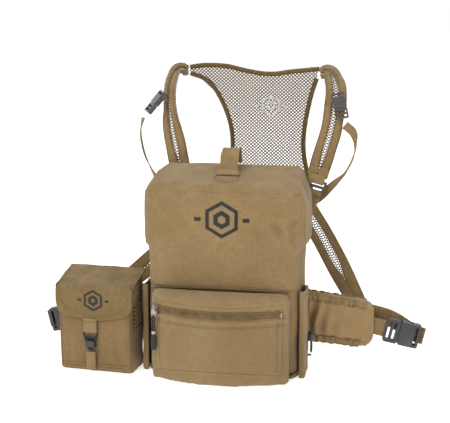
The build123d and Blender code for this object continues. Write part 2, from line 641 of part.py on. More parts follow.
def pouch_flap():
    """The flap: one even band from the hinge line over the top and down the front, round at its end."""
    mid_v = flap_in_v - FLAP_T / 2
    front_top = POUCH_FRONT_H + FLAP_CLEARANCE + FLAP_T / 2
    outer = offset(FilletPolyline((hinge_v, hinge_z), (mid_v, front_top + 1.0), (mid_v, FLAP_BOTTOM_Z - 1),
                                  radius=9.0), FLAP_T / 2, kind=Kind.INTERSECTION)
    side_plane = Plane(origin=(0, 0, 0), x_dir=(0, 1, 0), z_dir=(1, 0, 0))
    half = POUCH_W / 2 + FLAP_OVERHANG
    band = extrude(side_plane * make_face(outer.edges()), half, both=True)
    front_plane = Plane(origin=(0, 0, 0), x_dir=(1, 0, 0), z_dir=(0, -1, 0))
    tongue = make_face([Line((-half, FLAP_SIDE_BOTTOM_Z), (-half, hinge_z + 20)),
                        Line((-half, hinge_z + 20), (half, hinge_z + 20)),
                        Line((half, hinge_z + 20), (half, FLAP_SIDE_BOTTOM_Z)),
                        Spline((half, FLAP_SIDE_BOTTOM_Z), (0.45 * half, FLAP_BOTTOM_Z + 2.5),
                               (0, FLAP_BOTTOM_Z), (-0.45 * half, FLAP_BOTTOM_Z + 2.5),
                               (-half, FLAP_SIDE_BOTTOM_Z), tangents=[(-0.2, -1), (-0.2, 1)])])
    return band & extrude(front_plane * tongue, POUCH_D, both=True)


def closure_pieces():
    """Flap tab, peg plate, elastic loop and pull tab that keep the pouch shut."""
    tab_v = flap_in_v - FLAP_T - 0.05
    tab = block(CLOSURE_U - FLAP_TAB_W / 2, CLOSURE_U + FLAP_TAB_W / 2, tab_v - 2.6, tab_v,
                FLAP_BOTTOM_Z - 14, FLAP_BOTTOM_Z + 3)
    plate_v = front_v - HOOK_PLATE_T
    plate = block(CLOSURE_U - 6, CLOSURE_U + 6, plate_v, front_v, PEG_Z - 2.5, PEG_Z + 11)
    across = Plane(origin=(CLOSURE_U, plate_v, PEG_Z), x_dir=(1, 0, 0), z_dir=(0, -1, 0))
    peg = extrude(across * Circle(PEG_R), PEG_L)
    cap = extrude(across.offset(PEG_L) * (Pos(0, 2.0) * RectangleRounded(11.0, 7.4, 2.0)), 2.0)
    hook = plate + peg + cap
    cord_v = plate_v - PEG_L / 2
    cord_r = CLOSURE_CORD_D / 2
    low_z = PEG_Z - PEG_R - 0.4 - cord_r
    top_z = FLAP_BOTTOM_Z - 14.3
    turn = 5.2
    line = [(CLOSURE_U - 7, cord_v - 0.6, top_z), (CLOSURE_U - 8.4, cord_v, 39.5),
            (CLOSURE_U - turn, cord_v, low_z), (CLOSURE_U + turn, cord_v, low_z),
            (CLOSURE_U + 8.4, cord_v, 39.5), (CLOSURE_U + 7, cord_v - 0.6, top_z)]
    path = FilletPolyline(*line, radius=[8.0, 3.6, 3.6, 8.0])
    start = Plane(origin=path @ 0, z_dir=path % 0) * Circle(cord_r)
    loop = sweep(start, path=path)
    tab_top = low_z - cord_r - 2.2
    pull = block(CLOSURE_U - PULL_TAB_W / 2, CLOSURE_U + PULL_TAB_W / 2, cord_v - PULL_TAB_T / 2,
                 cord_v + PULL_TAB_T / 2, 3.0, tab_top)
    pull = fillet(pull.edges().filter_by(Axis.X), 1.2)
    return tab, hook, loop, pull, cord_v, low_z


def side_lacing():
    """Laced webbing bars on the pouch's inner side, one solid for each bar."""
    side_u = POUCH_W / 2
    bars = []
    for i in range(BAR_COUNT):
        z = BAR_BOTTOM_Z + i * BAR_PITCH
        bar = block(side_u, side_u + 1.2, front_v + 9, back_v - 13, z - 1.2, z + 1.2)
        bars.append(in_pouch(bar))
    return bars


def belt_loops():
    """Two flat webbing loops on the pouch's back that the waist wing passes through."""
    loops = []
    depth_in = LOOP_DEPTH
    for u in (-22.0, 16.0):
        outer = block(u - WEB_W / 2, u + WEB_W / 2, back_v, back_v + depth_in + 2 * WEB_T, 19.0, 95.0)
        inner = block(u - WEB_W, u + WEB_W, back_v + WEB_T, back_v + depth_in + WEB_T,
                      19.0 + WEB_T, 95.0 - WEB_T)
        loops.append(in_pouch(outer - inner))
    return loops


# ================================================================ build and save
walls = bucket()
base, sheet = base_pieces()
panel, foam = back_pieces()
rim_magnets = magnet_discs(BACK_PANEL_TOP - 0.2 - MAGNET_T / 2)
for magnet in rim_magnets:
    panel -= magnet
lid_magnet_z = hood_top_z(BUCKET_BACK_Y) - HOOD_WALL + MAGNET_T / 2 - 1.2
lid_magnets = magnet_discs(lid_magnet_z)
shell = hood_form(0) - hood_form(HOOD_WALL)
for magnet in lid_magnets:
    shell -= magnet
save("bucket_walls", walls)
save("base_panel", base)
save("base_stiffener", sheet)
save("back_panel", panel)
save("back_foam", foam)
save("rim_magnets", *rim_magnets)
save("hood_shell", shell)
save("hood_magnets", *lid_magnets)
patch = tab_patch()
save("pull_tab", pull_tab() - patch)
save("pull_tab_patch", patch)

save("front_pocket", pocket())
save("pocket_zip", zip_tape())
save("zip_slider", zip_slider())
save("zip_pull", *zip_pull_pieces())
save("side_pocket_left", side_pocket(-1))
save("side_pocket_right", side_pocket(1))
barrel, button, spring, elastic = cord_lock_pieces()
save("cord_lock_barrel", barrel)
save("cord_lock_button", button)
save("cord_lock_spring", spring)
save("side_elastic_loop", elastic)

mesh, binding = yoke_pieces()
save("yoke_mesh", mesh)
save("yoke_binding", binding)
ARM_RIGHT = [((77.5, 116.5, 165.0), (0.79, 0.0, 0.61), ARM_W),
             ((100.0, 98.0, 136.0), (0.79, 0.0, 0.61), ARM_W),
             ((121.0, 77.0, 106.0), (0.79, 0.0, 0.61), ARM_W),
             ((139.0, 57.0, 81.0), (0.79, 0.0, 0.61), 24),
             ((150.0, 45.0, 67.0), (0.70, 0.0, 0.71), WEB_W)]
ARM_LEFT = [((-27.5, 116.5, 166.0), (-0.64, 0.0, 0.77), ARM_W),
            ((-62.0, 99.0, 139.0), (-0.64, 0.0, 0.77), ARM_W),
            ((-98.0, 77.0, 109.0), (-0.64, 0.0, 0.77), ARM_W),
            ((-130.0, 55.0, 83.0), (-0.64, 0.0, 0.77), 24),
            ((-150.0, 40.0, 67.0), (-0.62, 0.0, 0.78), WEB_W)]
save("lower_arm_right", ribbon(ARM_RIGHT, ARM_T))
save("lower_arm_left", ribbon(ARM_LEFT, ARM_T))

straps = {"left": shoulder_strap_left(), "right": shoulder_strap_right()}
lock_places = {}
end_loops = []
adjuster_webs = []
for side_name, stations in straps.items():
    save(f"shoulder_strap_{side_name}", ribbon(stations, STRAP_T))
    place = lock_plane(stations)
    lock_places[side_name] = place
    save(f"ladder_lock_{side_name}", place.location * ladder_lock())
    hanging = bar_loop(WEB_W, LOCK_BAR / 2, LOCK_HANG - 1.0)
    end_loops.append(place.location * (Rot(0, 0, 180) * hanging))
    lower_bar = Pos(LOCK_H - LOCK_BAR, 0, 0) * bar_loop(WEB_W, LOCK_BAR / 2, 7.0)
    anchor_sign = 1 if side_name == "right" else -1
    low = place.origin + place.x_dir * (LOCK_H - LOCK_BAR + 7.6)
    anchor = Vector(anchor_sign * 72.0, back_face_y + 0.8 + WEB_T / 2, 160.0)
    middle = (low + anchor) * 0.5 + Vector(0, 1.5, 0)
    tail = [(tuple(low), tuple(place.z_dir), WEB_W),
            (tuple(middle), (1.0, 0.0, 0.1 * anchor_sign), WEB_W),
            (tuple(anchor), (1.0, 0.0, 0.0), WEB_W)]
    adjuster_webs += [ribbon(tail, WEB_T), place.location * lower_bar]
save("strap_end_loops", *end_loops)
save("adjuster_webs", *adjuster_webs)

TETHERS = {
    "right": {"plug": ((117.0, 70.5, 313.0), (123.5, 64.5, 284.0), (1.0, 0.0, 0.2)),
              "web": [((126.5, 63.0, 277.0), (0.9, 0.1, 0.45), SMALL_WEB_W),
                      ((136.0, 61.0, 269.0), (0.5, 0.5, 0.7), SMALL_WEB_W),
                      ((139.5, 59.0, 256.0), (0.2, 0.95, 0.1), SMALL_WEB_W),
                      ((137.0, 58.0, 240.0), (-0.1, 1.0, 0.0), SMALL_WEB_W),
                      ((128.0, 57.0, 222.0), (-0.1, 1.0, 0.1), SMALL_WEB_W),
                      ((113.0, 56.5, 206.5), (-0.5, 0.6, 0.5), SMALL_WEB_W),
                      ((99.0, 62.5, 192.0), (-0.6, 0.3, 0.7), SMALL_WEB_W),
                      ((82.0, 59.5, 181.0), (-0.5, 0.0, 0.85), SMALL_WEB_W)]},
    "left": {"plug": ((-88.5, 75.0, 309.0), (-107.0, 67.0, 286.0), (0.49, -0.87, -0.09)),
             "web": [((-111.5, 65.0, 280.0), (0.49, -0.87, -0.2), SMALL_WEB_W),
                     ((-114.0, 62.5, 266.0), (0.2, -0.97, 0.1), SMALL_WEB_W),
                     ((-112.5, 60.0, 250.0), (0.1, -0.97, 0.1), SMALL_WEB_W),
                     ((-107.0, 58.0, 233.0), (0.1, -0.97, 0.2), SMALL_WEB_W),
                     ((-98.0, 57.0, 216.0), (0.3, -0.8, 0.4), SMALL_WEB_W),
                     ((-88.0, 57.0, 202.0), (0.6, -0.3, 0.6), SMALL_WEB_W),
                     ((-77.0, 55.0, 190.0), (0.7, 0.0, 0.7), SMALL_WEB_W)]},
}
for side_name, tether in TETHERS.items():
    top_end, low_end, across = tether["plug"]
    length = (Vector(*low_end) - Vector(*top_end)).length
    place = buckle_plane(low_end, top_end, across)
    plug, socket, arms, web, bar, socket_bar, plug_bar = buckle(15.0, length, 6.4)
    save(f"tether_plug_{side_name}", place.location * plug)
    save(f"tether_socket_{side_name}", place.location * socket)
    for arm_name, arm in zip(("a", "b"), arms):
        save(f"tether_latch_{side_name}_{arm_name}", place.location * arm)
save("tether_webs", *[ribbon(tether["web"], WEB_T) for tether in TETHERS.values()])

WAIST_PLUG_X = BUCKET_W / 2 + WING_L + 13.0
WAIST_SOCKET_X = WAIST_PLUG_X + 39.5
wing_webs = []
WAIST = {
    "right": ((WAIST_PLUG_X, 30.0, 46.5), (WAIST_SOCKET_X, 34.5, 37.5), (0.22, 0.0, 0.97)),
    "left": ((-WAIST_PLUG_X, 24.0, 46.5), (-WAIST_SOCKET_X, 28.0, 37.5), (-0.22, 0.0, 0.97)),
}
for side_name, (plug_end, socket_end, across) in WAIST.items():
    sign = 1 if side_name == "right" else -1
    save(f"wing_{side_name}", wing(sign))
    length = (Vector(*socket_end) - Vector(*plug_end)).length
    place = buckle_plane(plug_end, socket_end, across)
    plug, socket, arms, web, bar, socket_bar, plug_bar = buckle(28.0, length, 9.0)
    save(f"waist_plug_{side_name}", place.location * plug)
    save(f"waist_socket_{side_name}", place.location * socket)
    for arm_name, arm in zip(("a", "b"), arms):
        save(f"waist_latch_{side_name}_{arm_name}", place.location * arm)
    tip = wing_plane(sign)
    tip_point = tip.origin + tip.x_dir * (WING_L + 0.8) + Vector(0, 0, 50.5)
    bar_point = place.origin + place.x_dir * (plug_bar - 3.4)
    end_web = [(tuple(tip_point), (0, 0, 1), WEB_W),
               (tuple(tip_point + tip.x_dir), (0, 0, 1), WEB_W),
               (tuple(bar_point), tuple(place.z_dir), WEB_W)]
    wing_webs.append(ribbon(end_web, WEB_T))
    arm_end = ARM_RIGHT[-1][0] if sign > 0 else ARM_LEFT[-1][0]
    outer_point = place.origin + place.x_dir * (socket_bar + 6.5)
    back = place.y_dir if place.y_dir.Y > 0 else place.y_dir * -1
    behind = place.origin + place.x_dir * (socket_bar - 2) + back * 8.5
    start = Vector(*arm_end) + Vector(sign * 3.2, -2.4, -3.6)
    between = start * 0.5 + behind * 0.5 + Vector(0, 0.5, 5.0)
    rear = [(tuple(start), (0.7 * sign, 0.0, 0.71), WEB_W),
            (tuple(between), (0.4 * sign, 0.0, 0.9), WEB_W),
            (tuple(behind), tuple(place.z_dir), WEB_W),
            (tuple(outer_point + back * 5.0), tuple(place.z_dir), WEB_W)]
    save(f"rear_web_{side_name}", ribbon(rear, WEB_T))
save("wing_webs", *wing_webs)

save("pouch_body", in_pouch(pouch_body()))
save("pouch_flap", in_pouch(pouch_flap()))
tab, hook, loop, pull, cord_v, cord_z = closure_pieces()
save("flap_tab", in_pouch(tab))
save("pouch_hook", in_pouch(hook))
save("closure_cord", in_pouch(loop))
save("closure_pull_tab", in_pouch(pull))
save("pouch_side_lacing", *side_lacing())
save("pouch_belt_loops", *belt_loops())
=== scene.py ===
"""Looks of a binocular harness pack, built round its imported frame.

Sizes are in millimetres in this file, and every mesh is handed to Blender in metres.
"""

import logging
import math
import random
from dataclasses import dataclass
from enum import Enum
from typing import Callable, Iterable, Sequence

import bmesh
import bpy
import numpy as np
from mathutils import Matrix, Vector
from mathutils.bvhtree import BVHTree


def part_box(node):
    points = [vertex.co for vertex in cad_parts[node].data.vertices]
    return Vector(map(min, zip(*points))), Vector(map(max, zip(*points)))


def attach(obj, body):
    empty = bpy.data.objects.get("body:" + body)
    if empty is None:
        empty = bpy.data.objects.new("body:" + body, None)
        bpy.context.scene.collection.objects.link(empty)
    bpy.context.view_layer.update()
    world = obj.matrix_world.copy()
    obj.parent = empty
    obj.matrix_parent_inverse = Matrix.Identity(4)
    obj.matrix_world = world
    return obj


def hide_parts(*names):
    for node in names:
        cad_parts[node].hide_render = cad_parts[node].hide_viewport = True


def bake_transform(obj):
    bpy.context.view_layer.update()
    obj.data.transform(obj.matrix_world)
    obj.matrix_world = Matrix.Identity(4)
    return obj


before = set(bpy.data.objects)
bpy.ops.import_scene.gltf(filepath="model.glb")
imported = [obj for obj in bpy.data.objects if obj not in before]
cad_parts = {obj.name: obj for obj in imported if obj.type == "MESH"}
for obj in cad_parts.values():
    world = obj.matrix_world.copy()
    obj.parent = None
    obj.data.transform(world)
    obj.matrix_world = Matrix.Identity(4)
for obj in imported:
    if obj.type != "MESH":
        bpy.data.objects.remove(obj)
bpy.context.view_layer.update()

LOG = logging.getLogger("harness_pack")
MM = 0.001
Point = Sequence[float]
FLOOR_Z = -0.2
FLOOR_HALF = 6000.0
POCKET_ARC = 162.1
POCKET_CENTRE_Y = 94.1
BLOCK_FACES = ((0, 1, 2, 3), (7, 6, 5, 4), (0, 4, 5, 1), (1, 5, 6, 2), (2, 6, 7, 3), (3, 7, 4, 0))
LAMPS = (
    ("key", (-0.9, -1.5, 1.7), 1.0, 24),
    ("fill", (1.5, -1.3, 0.9), 1.6, 5),
    ("top", (0.1, 0.1, 1.9), 1.2, 9),
    ("rear", (0.6, 1.6, 1.2), 1.5, 8),
    ("rear_left", (-1.4, 1.3, 1.0), 1.4, 7),
)


class Side(Enum):
    """The wearer's two sides, by the sign of their X."""

    LEFT = -1
    RIGHT = 1

    @property
    def word(self) -> str:
        """The side's name as it stands in node names."""
        return self.name.lower()


class Projection(Enum):
    """What a weave follows: the piece's own strip coordinates or its place."""

    STRIP = "UV"
    PLACE = "Object"


def linear(rgb: tuple[int, int, int], gain: float = 1.0) -> tuple[float, float, float, float]:
    """Turns a screen colour into the linear colour a shader takes.

    Args:
        rgb: The colour as three numbers from 0 to 255.
        gain: A factor on the linear colour.

    Returns:
        The linear colour with an alpha of 1.
    """
    out = []
    for channel in rgb:
        share = channel / 255
        value = share / 12.92 if share <= 0.04045 else ((share + 0.055) / 1.055) ** 2.4
        out.append(value * gain)
    return (out[0], out[1], out[2], 1.0)


def unit(vector: np.ndarray) -> np.ndarray:
    """Scales each row of an array, or one vector, to length 1."""
    array = np.asarray(vector, float)
    return array / np.maximum(np.linalg.norm(array, axis=-1, keepdims=True), 1e-9)


def smoothstep(value: np.ndarray) -> np.ndarray:
    """Eases 0 to 1, held flat outside that range."""
    t = np.clip(value, 0.0, 1.0)
    return t * t * (3 - 2 * t)


def curve_through(points: Sequence[Point], per_span: int = 8, closed: bool = False) -> np.ndarray:
    """Interpolates rows of numbers with a Catmull-Rom curve.

    Args:
        points: The rows the curve goes through.
        per_span: Steps between two rows.
        closed: Whether the curve returns to its first row.

    Returns:
        The sampled rows.
    """
    rows = np.asarray(points, float)
    count = len(rows)
    spans = count if closed else count - 1
    out = []
    for i in range(spans):
        if closed:
            a, b, c, d = (rows[(i + k) % count] for k in (-1, 0, 1, 2))
        else:
            b, c = rows[i], rows[i + 1]
            a = rows[i - 1] if i else 2 * b - c
            d = rows[i + 2] if i + 2 < count else 2 * c - b
        for step in range(per_span):
            t = step / per_span
            out.append(0.5 * (2 * b + (c - a) * t + (2 * a - 5 * b + 4 * c - d) * t**2
                              + (3 * b - a - 3 * c + d) * t**3))
    if not closed:
        out.append(rows[-1])
    return np.array(out)


def run_length(points: np.ndarray) -> np.ndarray:
    """The distance along a line of points up to each of them."""
    steps = np.linalg.norm(np.diff(points, axis=0), axis=1)
    return np.concatenate([[0.0], np.cumsum(steps)])


def mesh_object(
    name: str,
    points: np.ndarray,
    faces: Iterable[Sequence[int]],
    strip: np.ndarray | None = None,
) -> bpy.types.Object:
    """Makes a smooth-shaded mesh object.

    Args:
        name: The piece's name.
        points: Its vertices, in millimetres.
        faces: Vertex numbers of each face.
        strip: A strip coordinate pair for each vertex, in millimetres.

    Returns:
        The new object, in the scene.
    """
    mesh = bpy.data.meshes.new(name)
    mesh.from_pydata((np.asarray(points, float) * MM).tolist(), [], [list(f) for f in faces])
    if strip is not None:
        layer = mesh.uv_layers.new(name="strip")
        corner = np.zeros(len(mesh.loops), np.int32)
        mesh.loops.foreach_get("vertex_index", corner)
        layer.data.foreach_set("uv", (np.asarray(strip)[corner] * MM).astype(np.float32).ravel())
    mesh.validate()
    mesh.update()
    mesh.polygons.foreach_set("use_smooth", np.ones(len(mesh.polygons), bool))
    made = bpy.data.objects.new(name, mesh)
    bpy.context.scene.collection.objects.link(made)
    return made


def sweep(name: str, rings: np.ndarray, closed_path: bool = False) -> bpy.types.Object:
    """Skins a row of closed cross-sections, with a cap on each end.

    Args:
        name: The piece's name.
        rings: Sections by points by 3, in millimetres.
        closed_path: Whether the last section joins the first.

    Returns:
        The new object, with strip coordinates round and along it.
    """
    rows, count = rings.shape[:2]
    points = rings.reshape(-1, 3)
    faces = []
    for i in range(rows if closed_path else rows - 1):
        j = (i + 1) % rows
        for k in range(count):
            m = (k + 1) % count
            faces.append((i * count + k, i * count + m, j * count + m, j * count + k))
    if not closed_path:
        faces.append(tuple(reversed(range(count))))
        faces.append(tuple((rows - 1) * count + k for k in range(count)))
    along = run_length(rings.mean(axis=1))
    span = rings[:, :, :] - rings.mean(axis=1)[:, None]
    half = np.linalg.norm(span, axis=2).argmax(axis=1)
    axis = unit(span[np.arange(rows), half])
    across = np.einsum("nkc,nc->nk", span, axis)
    strip = np.stack([across, np.repeat(along[:, None], count, 1)], axis=2).reshape(-1, 2)
    made = mesh_object(name, points, faces, strip)
    return oriented(made)


def oriented(made: bpy.types.Object) -> bpy.types.Object:
    """Turns every face of a closed mesh outwards."""
    work = bmesh.new()
    work.from_mesh(made.data)
    bmesh.ops.recalc_face_normals(work, faces=work.faces)
    work.to_mesh(made.data)
    work.free()
    return made


def band_section(width: float, thickness: float) -> np.ndarray:
    """A flat section with rounded edges, as pairs across and through the band."""
    radius = thickness / 2
    run = np.linspace(-width / 2 + radius, width / 2 - radius, 5)
    turn = np.linspace(-math.pi / 2, math.pi / 2, 5)[1:-1]
    right = [(width / 2 - radius + radius * math.cos(a), radius * math.sin(a)) for a in turn]
    left = [(-x, -y) for x, y in right]
    top = [(x, radius) for x in run[::-1]]
    low = [(x, -radius) for x in run]
    return np.array(low + right + top + left)


def band_axes(centres: np.ndarray, across: np.ndarray) -> tuple[np.ndarray, np.ndarray]:
    """Square-on directions of a band.

    Args:
        centres: Its centreline.
        across: Rough directions across it.

    Returns:
        Unit directions across it and out of its face.
    """
    tangent = unit(np.gradient(centres, axis=0))
    side = unit(across - np.sum(across * tangent, axis=1)[:, None] * tangent)
    return side, unit(np.cross(tangent, side))


def ribbon(
    name: str,
    centres: np.ndarray,
    across: np.ndarray,
    width: float | np.ndarray,
    thickness: float,
    shift: float | np.ndarray = 0.0,
) -> bpy.types.Object:
    """Makes a strap of constant section along a line.

    Args:
        name: The piece's name.
        centres: The line, in millimetres.
        across: Directions across the strap.
        width: Its width, one number or one for each point.
        thickness: Its thickness.
        shift: How far the strap lies to one side of the line.

    Returns:
        The new object.
    """
    side, face = band_axes(centres, across)
    rows = len(centres)
    widths = np.broadcast_to(np.asarray(width, float), rows)
    middle = centres + side * np.broadcast_to(np.asarray(shift, float), rows)[:, None]
    rings = []
    for i in range(rows):
        section = band_section(widths[i], thickness)
        rings.append(middle[i] + section[:, :1] * side[i] + section[:, 1:] * face[i])
    return sweep(name, np.array(rings))


def tube(name: str, centres: np.ndarray, radius: float | np.ndarray, sides: int = 8,
         closed: bool = False) -> bpy.types.Object:
    """Makes a round tube along a line.

    Args:
        name: The piece's name.
        centres: The line, in millimetres.
        radius: Its radius, one number or one for each point.
        sides: Points in a section.
        closed: Whether the line joins itself.

    Returns:
        The new object.
    """
    tangent = unit(np.gradient(centres, axis=0))
    if closed:
        tangent = unit(np.roll(centres, -1, 0) - np.roll(centres, 1, 0))
    normal = np.cross(tangent[0], (0.0, 0.0, 1.0))
    if np.linalg.norm(normal) < 0.1:
        normal = np.cross(tangent[0], (0.0, 1.0, 0.0))
    rings, radii = [], np.broadcast_to(np.asarray(radius, float), len(centres))
    turn = np.linspace(0, 2 * math.pi, sides, endpoint=False)
    for i, centre in enumerate(centres):
        normal = unit(normal - np.dot(normal, tangent[i]) * tangent[i])
        other = np.cross(tangent[i], normal)
        rings.append(centre + radii[i] * (np.outer(np.cos(turn), normal) + np.outer(np.sin(turn), other)))
    return sweep(name, np.array(rings), closed)


def joined(name: str, parts: Sequence[bpy.types.Object]) -> bpy.types.Object:
    """Joins objects into one piece.

    Args:
        name: The joined piece's name.
        parts: The objects, which keep their own materials.

    Returns:
        The first object, holding all of them.
    """
    first = parts[0]
    if len(parts) > 1:
        with bpy.context.temp_override(active_object=first, object=first,
                                       selected_objects=list(parts),
                                       selected_editable_objects=list(parts)):
            bpy.ops.object.join()
    first.name = name
    first.data.name = name
    return first


def vertex_array(made: bpy.types.Object) -> np.ndarray:
    """A mesh object's vertices, in millimetres."""
    flat = np.zeros(len(made.data.vertices) * 3, np.float32)
    made.data.vertices.foreach_get("co", flat)
    return flat.reshape(-1, 3).astype(float) / MM


def normal_array(made: bpy.types.Object) -> np.ndarray:
    """A mesh object's vertex normals."""
    flat = np.zeros(len(made.data.vertices) * 3, np.float32)
    made.data.vertex_normals.foreach_get("vector", flat)
    return flat.reshape(-1, 3).astype(float)


def set_vertices(made: bpy.types.Object, points: np.ndarray) -> None:
    """Moves a mesh object's vertices to points in millimetres."""
    made.data.vertices.foreach_set("co", (points * MM).astype(np.float32).ravel())
    made.data.update()


def baked(made: bpy.types.Object) -> bpy.types.Object:
    """Applies an object's modifiers to its mesh."""
    depsgraph = bpy.context.evaluated_depsgraph_get()
    mesh = bpy.data.meshes.new_from_object(made.evaluated_get(depsgraph))
    made.modifiers.clear()
    made.data = mesh
    mesh.name = made.name
    mesh.polygons.foreach_set("use_smooth", np.ones(len(mesh.polygons), bool))
    return made


def soft_copy(name: str, node: str, voxel: float, relax: int = 6) -> bpy.types.Object:
    """Copies a CAD solid as an even, rounded mesh that folds can be pushed into.

    Args:
        name: The new piece's name.
        node: The CAD node.
        voxel: The size of the mesh's cells.
        relax: Smoothing steps, which round its edges.

    Returns:
        The new object.
    """
    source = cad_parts[node]
    made = bpy.data.objects.new(name, source.data.copy())
    bpy.context.scene.collection.objects.link(made)
    weld = made.modifiers.new("weld", "WELD")
    weld.merge_threshold = 1e-5
    remesh = made.modifiers.new("cells", "REMESH")
    remesh.mode = "VOXEL"
    remesh.voxel_size = voxel * MM
    remesh.use_smooth_shade = True
    if relax:
        smooth = made.modifiers.new("relax", "SMOOTH")
        smooth.iterations = relax
        smooth.factor = 0.5
    bpy.context.view_layer.update()
    made = baked(made)
    made.data.materials.clear()
    return made


class Recipe:
    """A shader node tree being put together, a material's or a group's."""

    def __init__(self, tree: bpy.types.NodeTree) -> None:
        """Starts on a tree."""
        self.tree = tree

    def put(self, kind: str, feeds: dict | None = None, **settings: object) -> bpy.types.Node:
        """Adds a node.

        Args:
            kind: The node's Blender type.
            feeds: What goes into its inputs by name or number, a socket or a value.
            **settings: Values of the node's own options.

        Returns:
            The node.
        """
        node = self.tree.nodes.new(kind)
        for key, value in settings.items():
            setattr(node, key, value)
        for key, value in (feeds or {}).items():
            if isinstance(value, bpy.types.NodeSocket):
                self.tree.links.new(value, node.inputs[key])
            else:
                node.inputs[key].default_value = value
        return node

    def math(self, operation: str, *values: object) -> bpy.types.NodeSocket:
        """Adds a Math node and returns its result."""
        feeds = dict(enumerate(values))
        return self.put("ShaderNodeMath", feeds, operation=operation).outputs[0]

    def mix(self, share: object, first: object, second: object) -> bpy.types.NodeSocket:
        """Mixes two colours by a share and returns the colour."""
        return self.put("ShaderNodeMix", {0: share, 6: first, 7: second},
                        data_type="RGBA").outputs[2]

    def noise(self, place: bpy.types.NodeSocket, scale: object, detail: float = 3.0) -> bpy.types.NodeSocket:
        """Adds a noise field and returns its value."""
        return self.put("ShaderNodeTexNoise", {"Vector": place, "Scale": scale,
                                               "Detail": detail}).outputs["Fac"]

    def spread(self, value: object, low: float, high: float, to_low: float = 0.0,
               to_high: float = 1.0) -> bpy.types.NodeSocket:
        """Maps a range of values onto another, held at its ends."""
        feeds = {0: value, 1: low, 2: high, 3: to_low, 4: to_high}
        return self.put("ShaderNodeMapRange", feeds, clamp=True).outputs[0]


def effect(name: str, inputs: dict[str, object], outputs: dict[str, str],
           build: Callable[[Recipe, bpy.types.Node], dict[str, bpy.types.NodeSocket]]) -> bpy.types.NodeTree:
    """Builds a node group once.

    Args:
        name: The group's name.
        inputs: Default value of each named input, a colour or a number.
        outputs: Socket type of each named output.
        build: A function that adds the nodes and returns a socket for each output.

    Returns:
        The group.
    """
    known = bpy.data.node_groups.get(name)
    if known:
        return known
    tree = bpy.data.node_groups.new(name, "ShaderNodeTree")
    for key, value in inputs.items():
        kind = "NodeSocketColor" if isinstance(value, tuple) else "NodeSocketFloat"
        socket = tree.interface.new_socket(name=key, in_out="INPUT", socket_type=kind)
        socket.default_value = value
    for key, kind in outputs.items():
        tree.interface.new_socket(name=key, in_out="OUTPUT", socket_type=kind)
    recipe = Recipe(tree)
    start = recipe.put("NodeGroupInput")
    results = build(recipe, start)
    recipe.put("NodeGroupOutput", results)
    return tree


GREY = (0.5, 0.5, 0.5, 1.0)
TURN = 2 * math.pi


def tone_group() -> bpy.types.NodeTree:
    """Uneven dye: a colour that drifts to a darker and a lighter one over the surface."""
    def build(recipe: Recipe, start: bpy.types.Node) -> dict[str, bpy.types.NodeSocket]:
        """Adds the drift of the colour."""
        place = recipe.put("ShaderNodeTexCoord").outputs["Object"]
        broad = recipe.spread(recipe.noise(place, start.outputs["Scale"], 4.0), 0.35, 0.65)
        fine = recipe.noise(place, recipe.math("MULTIPLY", start.outputs["Scale"], 14.0), 2.0)
        share = recipe.math("MULTIPLY", broad, start.outputs["Amount"])
        drift = recipe.mix(share, start.outputs["Colour"], start.outputs["Second colour"])
        fleck = recipe.math("MULTIPLY", recipe.spread(fine, 0.4, 0.7), start.outputs["Fleck"])
        return {"Colour": recipe.mix(fleck, drift, start.outputs["Second colour"])}
    inputs = {"Colour": GREY, "Second colour": GREY, "Scale": 14.0, "Amount": 0.6, "Fleck": 0.3}
    return effect("dye tone", inputs, {"Colour": "NodeSocketColor"}, build)


def weave_group() -> bpy.types.NodeTree:
    """Plain weave on a cloth of any shape: threads over and under, by place."""
    def build(recipe: Recipe, start: bpy.types.Node) -> dict[str, bpy.types.NodeSocket]:
        """Adds threads on the three square-on planes, mixed by the surface's facing."""
        place = recipe.put("ShaderNodeTexCoord").outputs["Object"]
        facing = recipe.put("ShaderNodeNewGeometry").outputs["Normal"]
        axes = recipe.put("ShaderNodeSeparateXYZ", {0: place}).outputs
        face = recipe.put("ShaderNodeSeparateXYZ", {0: facing}).outputs
        rate = recipe.math("DIVIDE", TURN, start.outputs["Pitch"])
        waves = [recipe.math("SINE", recipe.math("MULTIPLY", axes[i], rate)) for i in range(3)]
        total = None
        for across, along, out in ((0, 2, 1), (0, 1, 2), (1, 2, 0)):
            pair = recipe.math("MULTIPLY", waves[across], waves[along])
            part = recipe.math("MULTIPLY", pair, recipe.math("POWER", face[out], 2.0))
            total = part if total is None else recipe.math("ADD", total, part)
        slub = recipe.noise(place, 700.0, 2.0)
        height = recipe.math("ADD", recipe.math("MULTIPLY", total, 0.5), slub)
        # Gap marks the low places between threads, where the finishes paint shade.
        return {"Height": height, "Gap": recipe.spread(height, 0.1, 0.45, 1.0, 0.0)}
    outputs = {"Height": "NodeSocketFloat", "Gap": "NodeSocketFloat"}
    return effect("cloth weave", {"Pitch": 0.001}, outputs, build)


def rib_group() -> bpy.types.NodeTree:
    """Webbing's herringbone ribs, which follow the strip."""
    def build(recipe: Recipe, start: bpy.types.Node) -> dict[str, bpy.types.NodeSocket]:
        """Adds slanted ribs whose slant turns back and forth across the strip."""
        strip = recipe.put("ShaderNodeTexCoord").outputs["UV"]
        axes = recipe.put("ShaderNodeSeparateXYZ", {0: strip}).outputs
        column = recipe.math("PINGPONG", axes[0], start.outputs["Column"])
        line = recipe.math("ADD", axes[1], column)
        rate = recipe.math("DIVIDE", TURN, start.outputs["Pitch"])
        rib = recipe.math("SINE", recipe.math("MULTIPLY", line, rate))
        fuzz = recipe.noise(strip, 900.0, 2.0)
        height = recipe.math("ADD", recipe.math("MULTIPLY", rib, 0.5), fuzz)
        # Gap marks the low places between ribs, where the finishes paint shade.
        return {"Height": height, "Gap": recipe.spread(rib, -1.0, -0.2, 1.0, 0.0)}
    outputs = {"Height": "NodeSocketFloat", "Gap": "NodeSocketFloat"}
    return effect("webbing ribs", {"Pitch": 0.0014, "Column": 0.0025}, outputs, build)


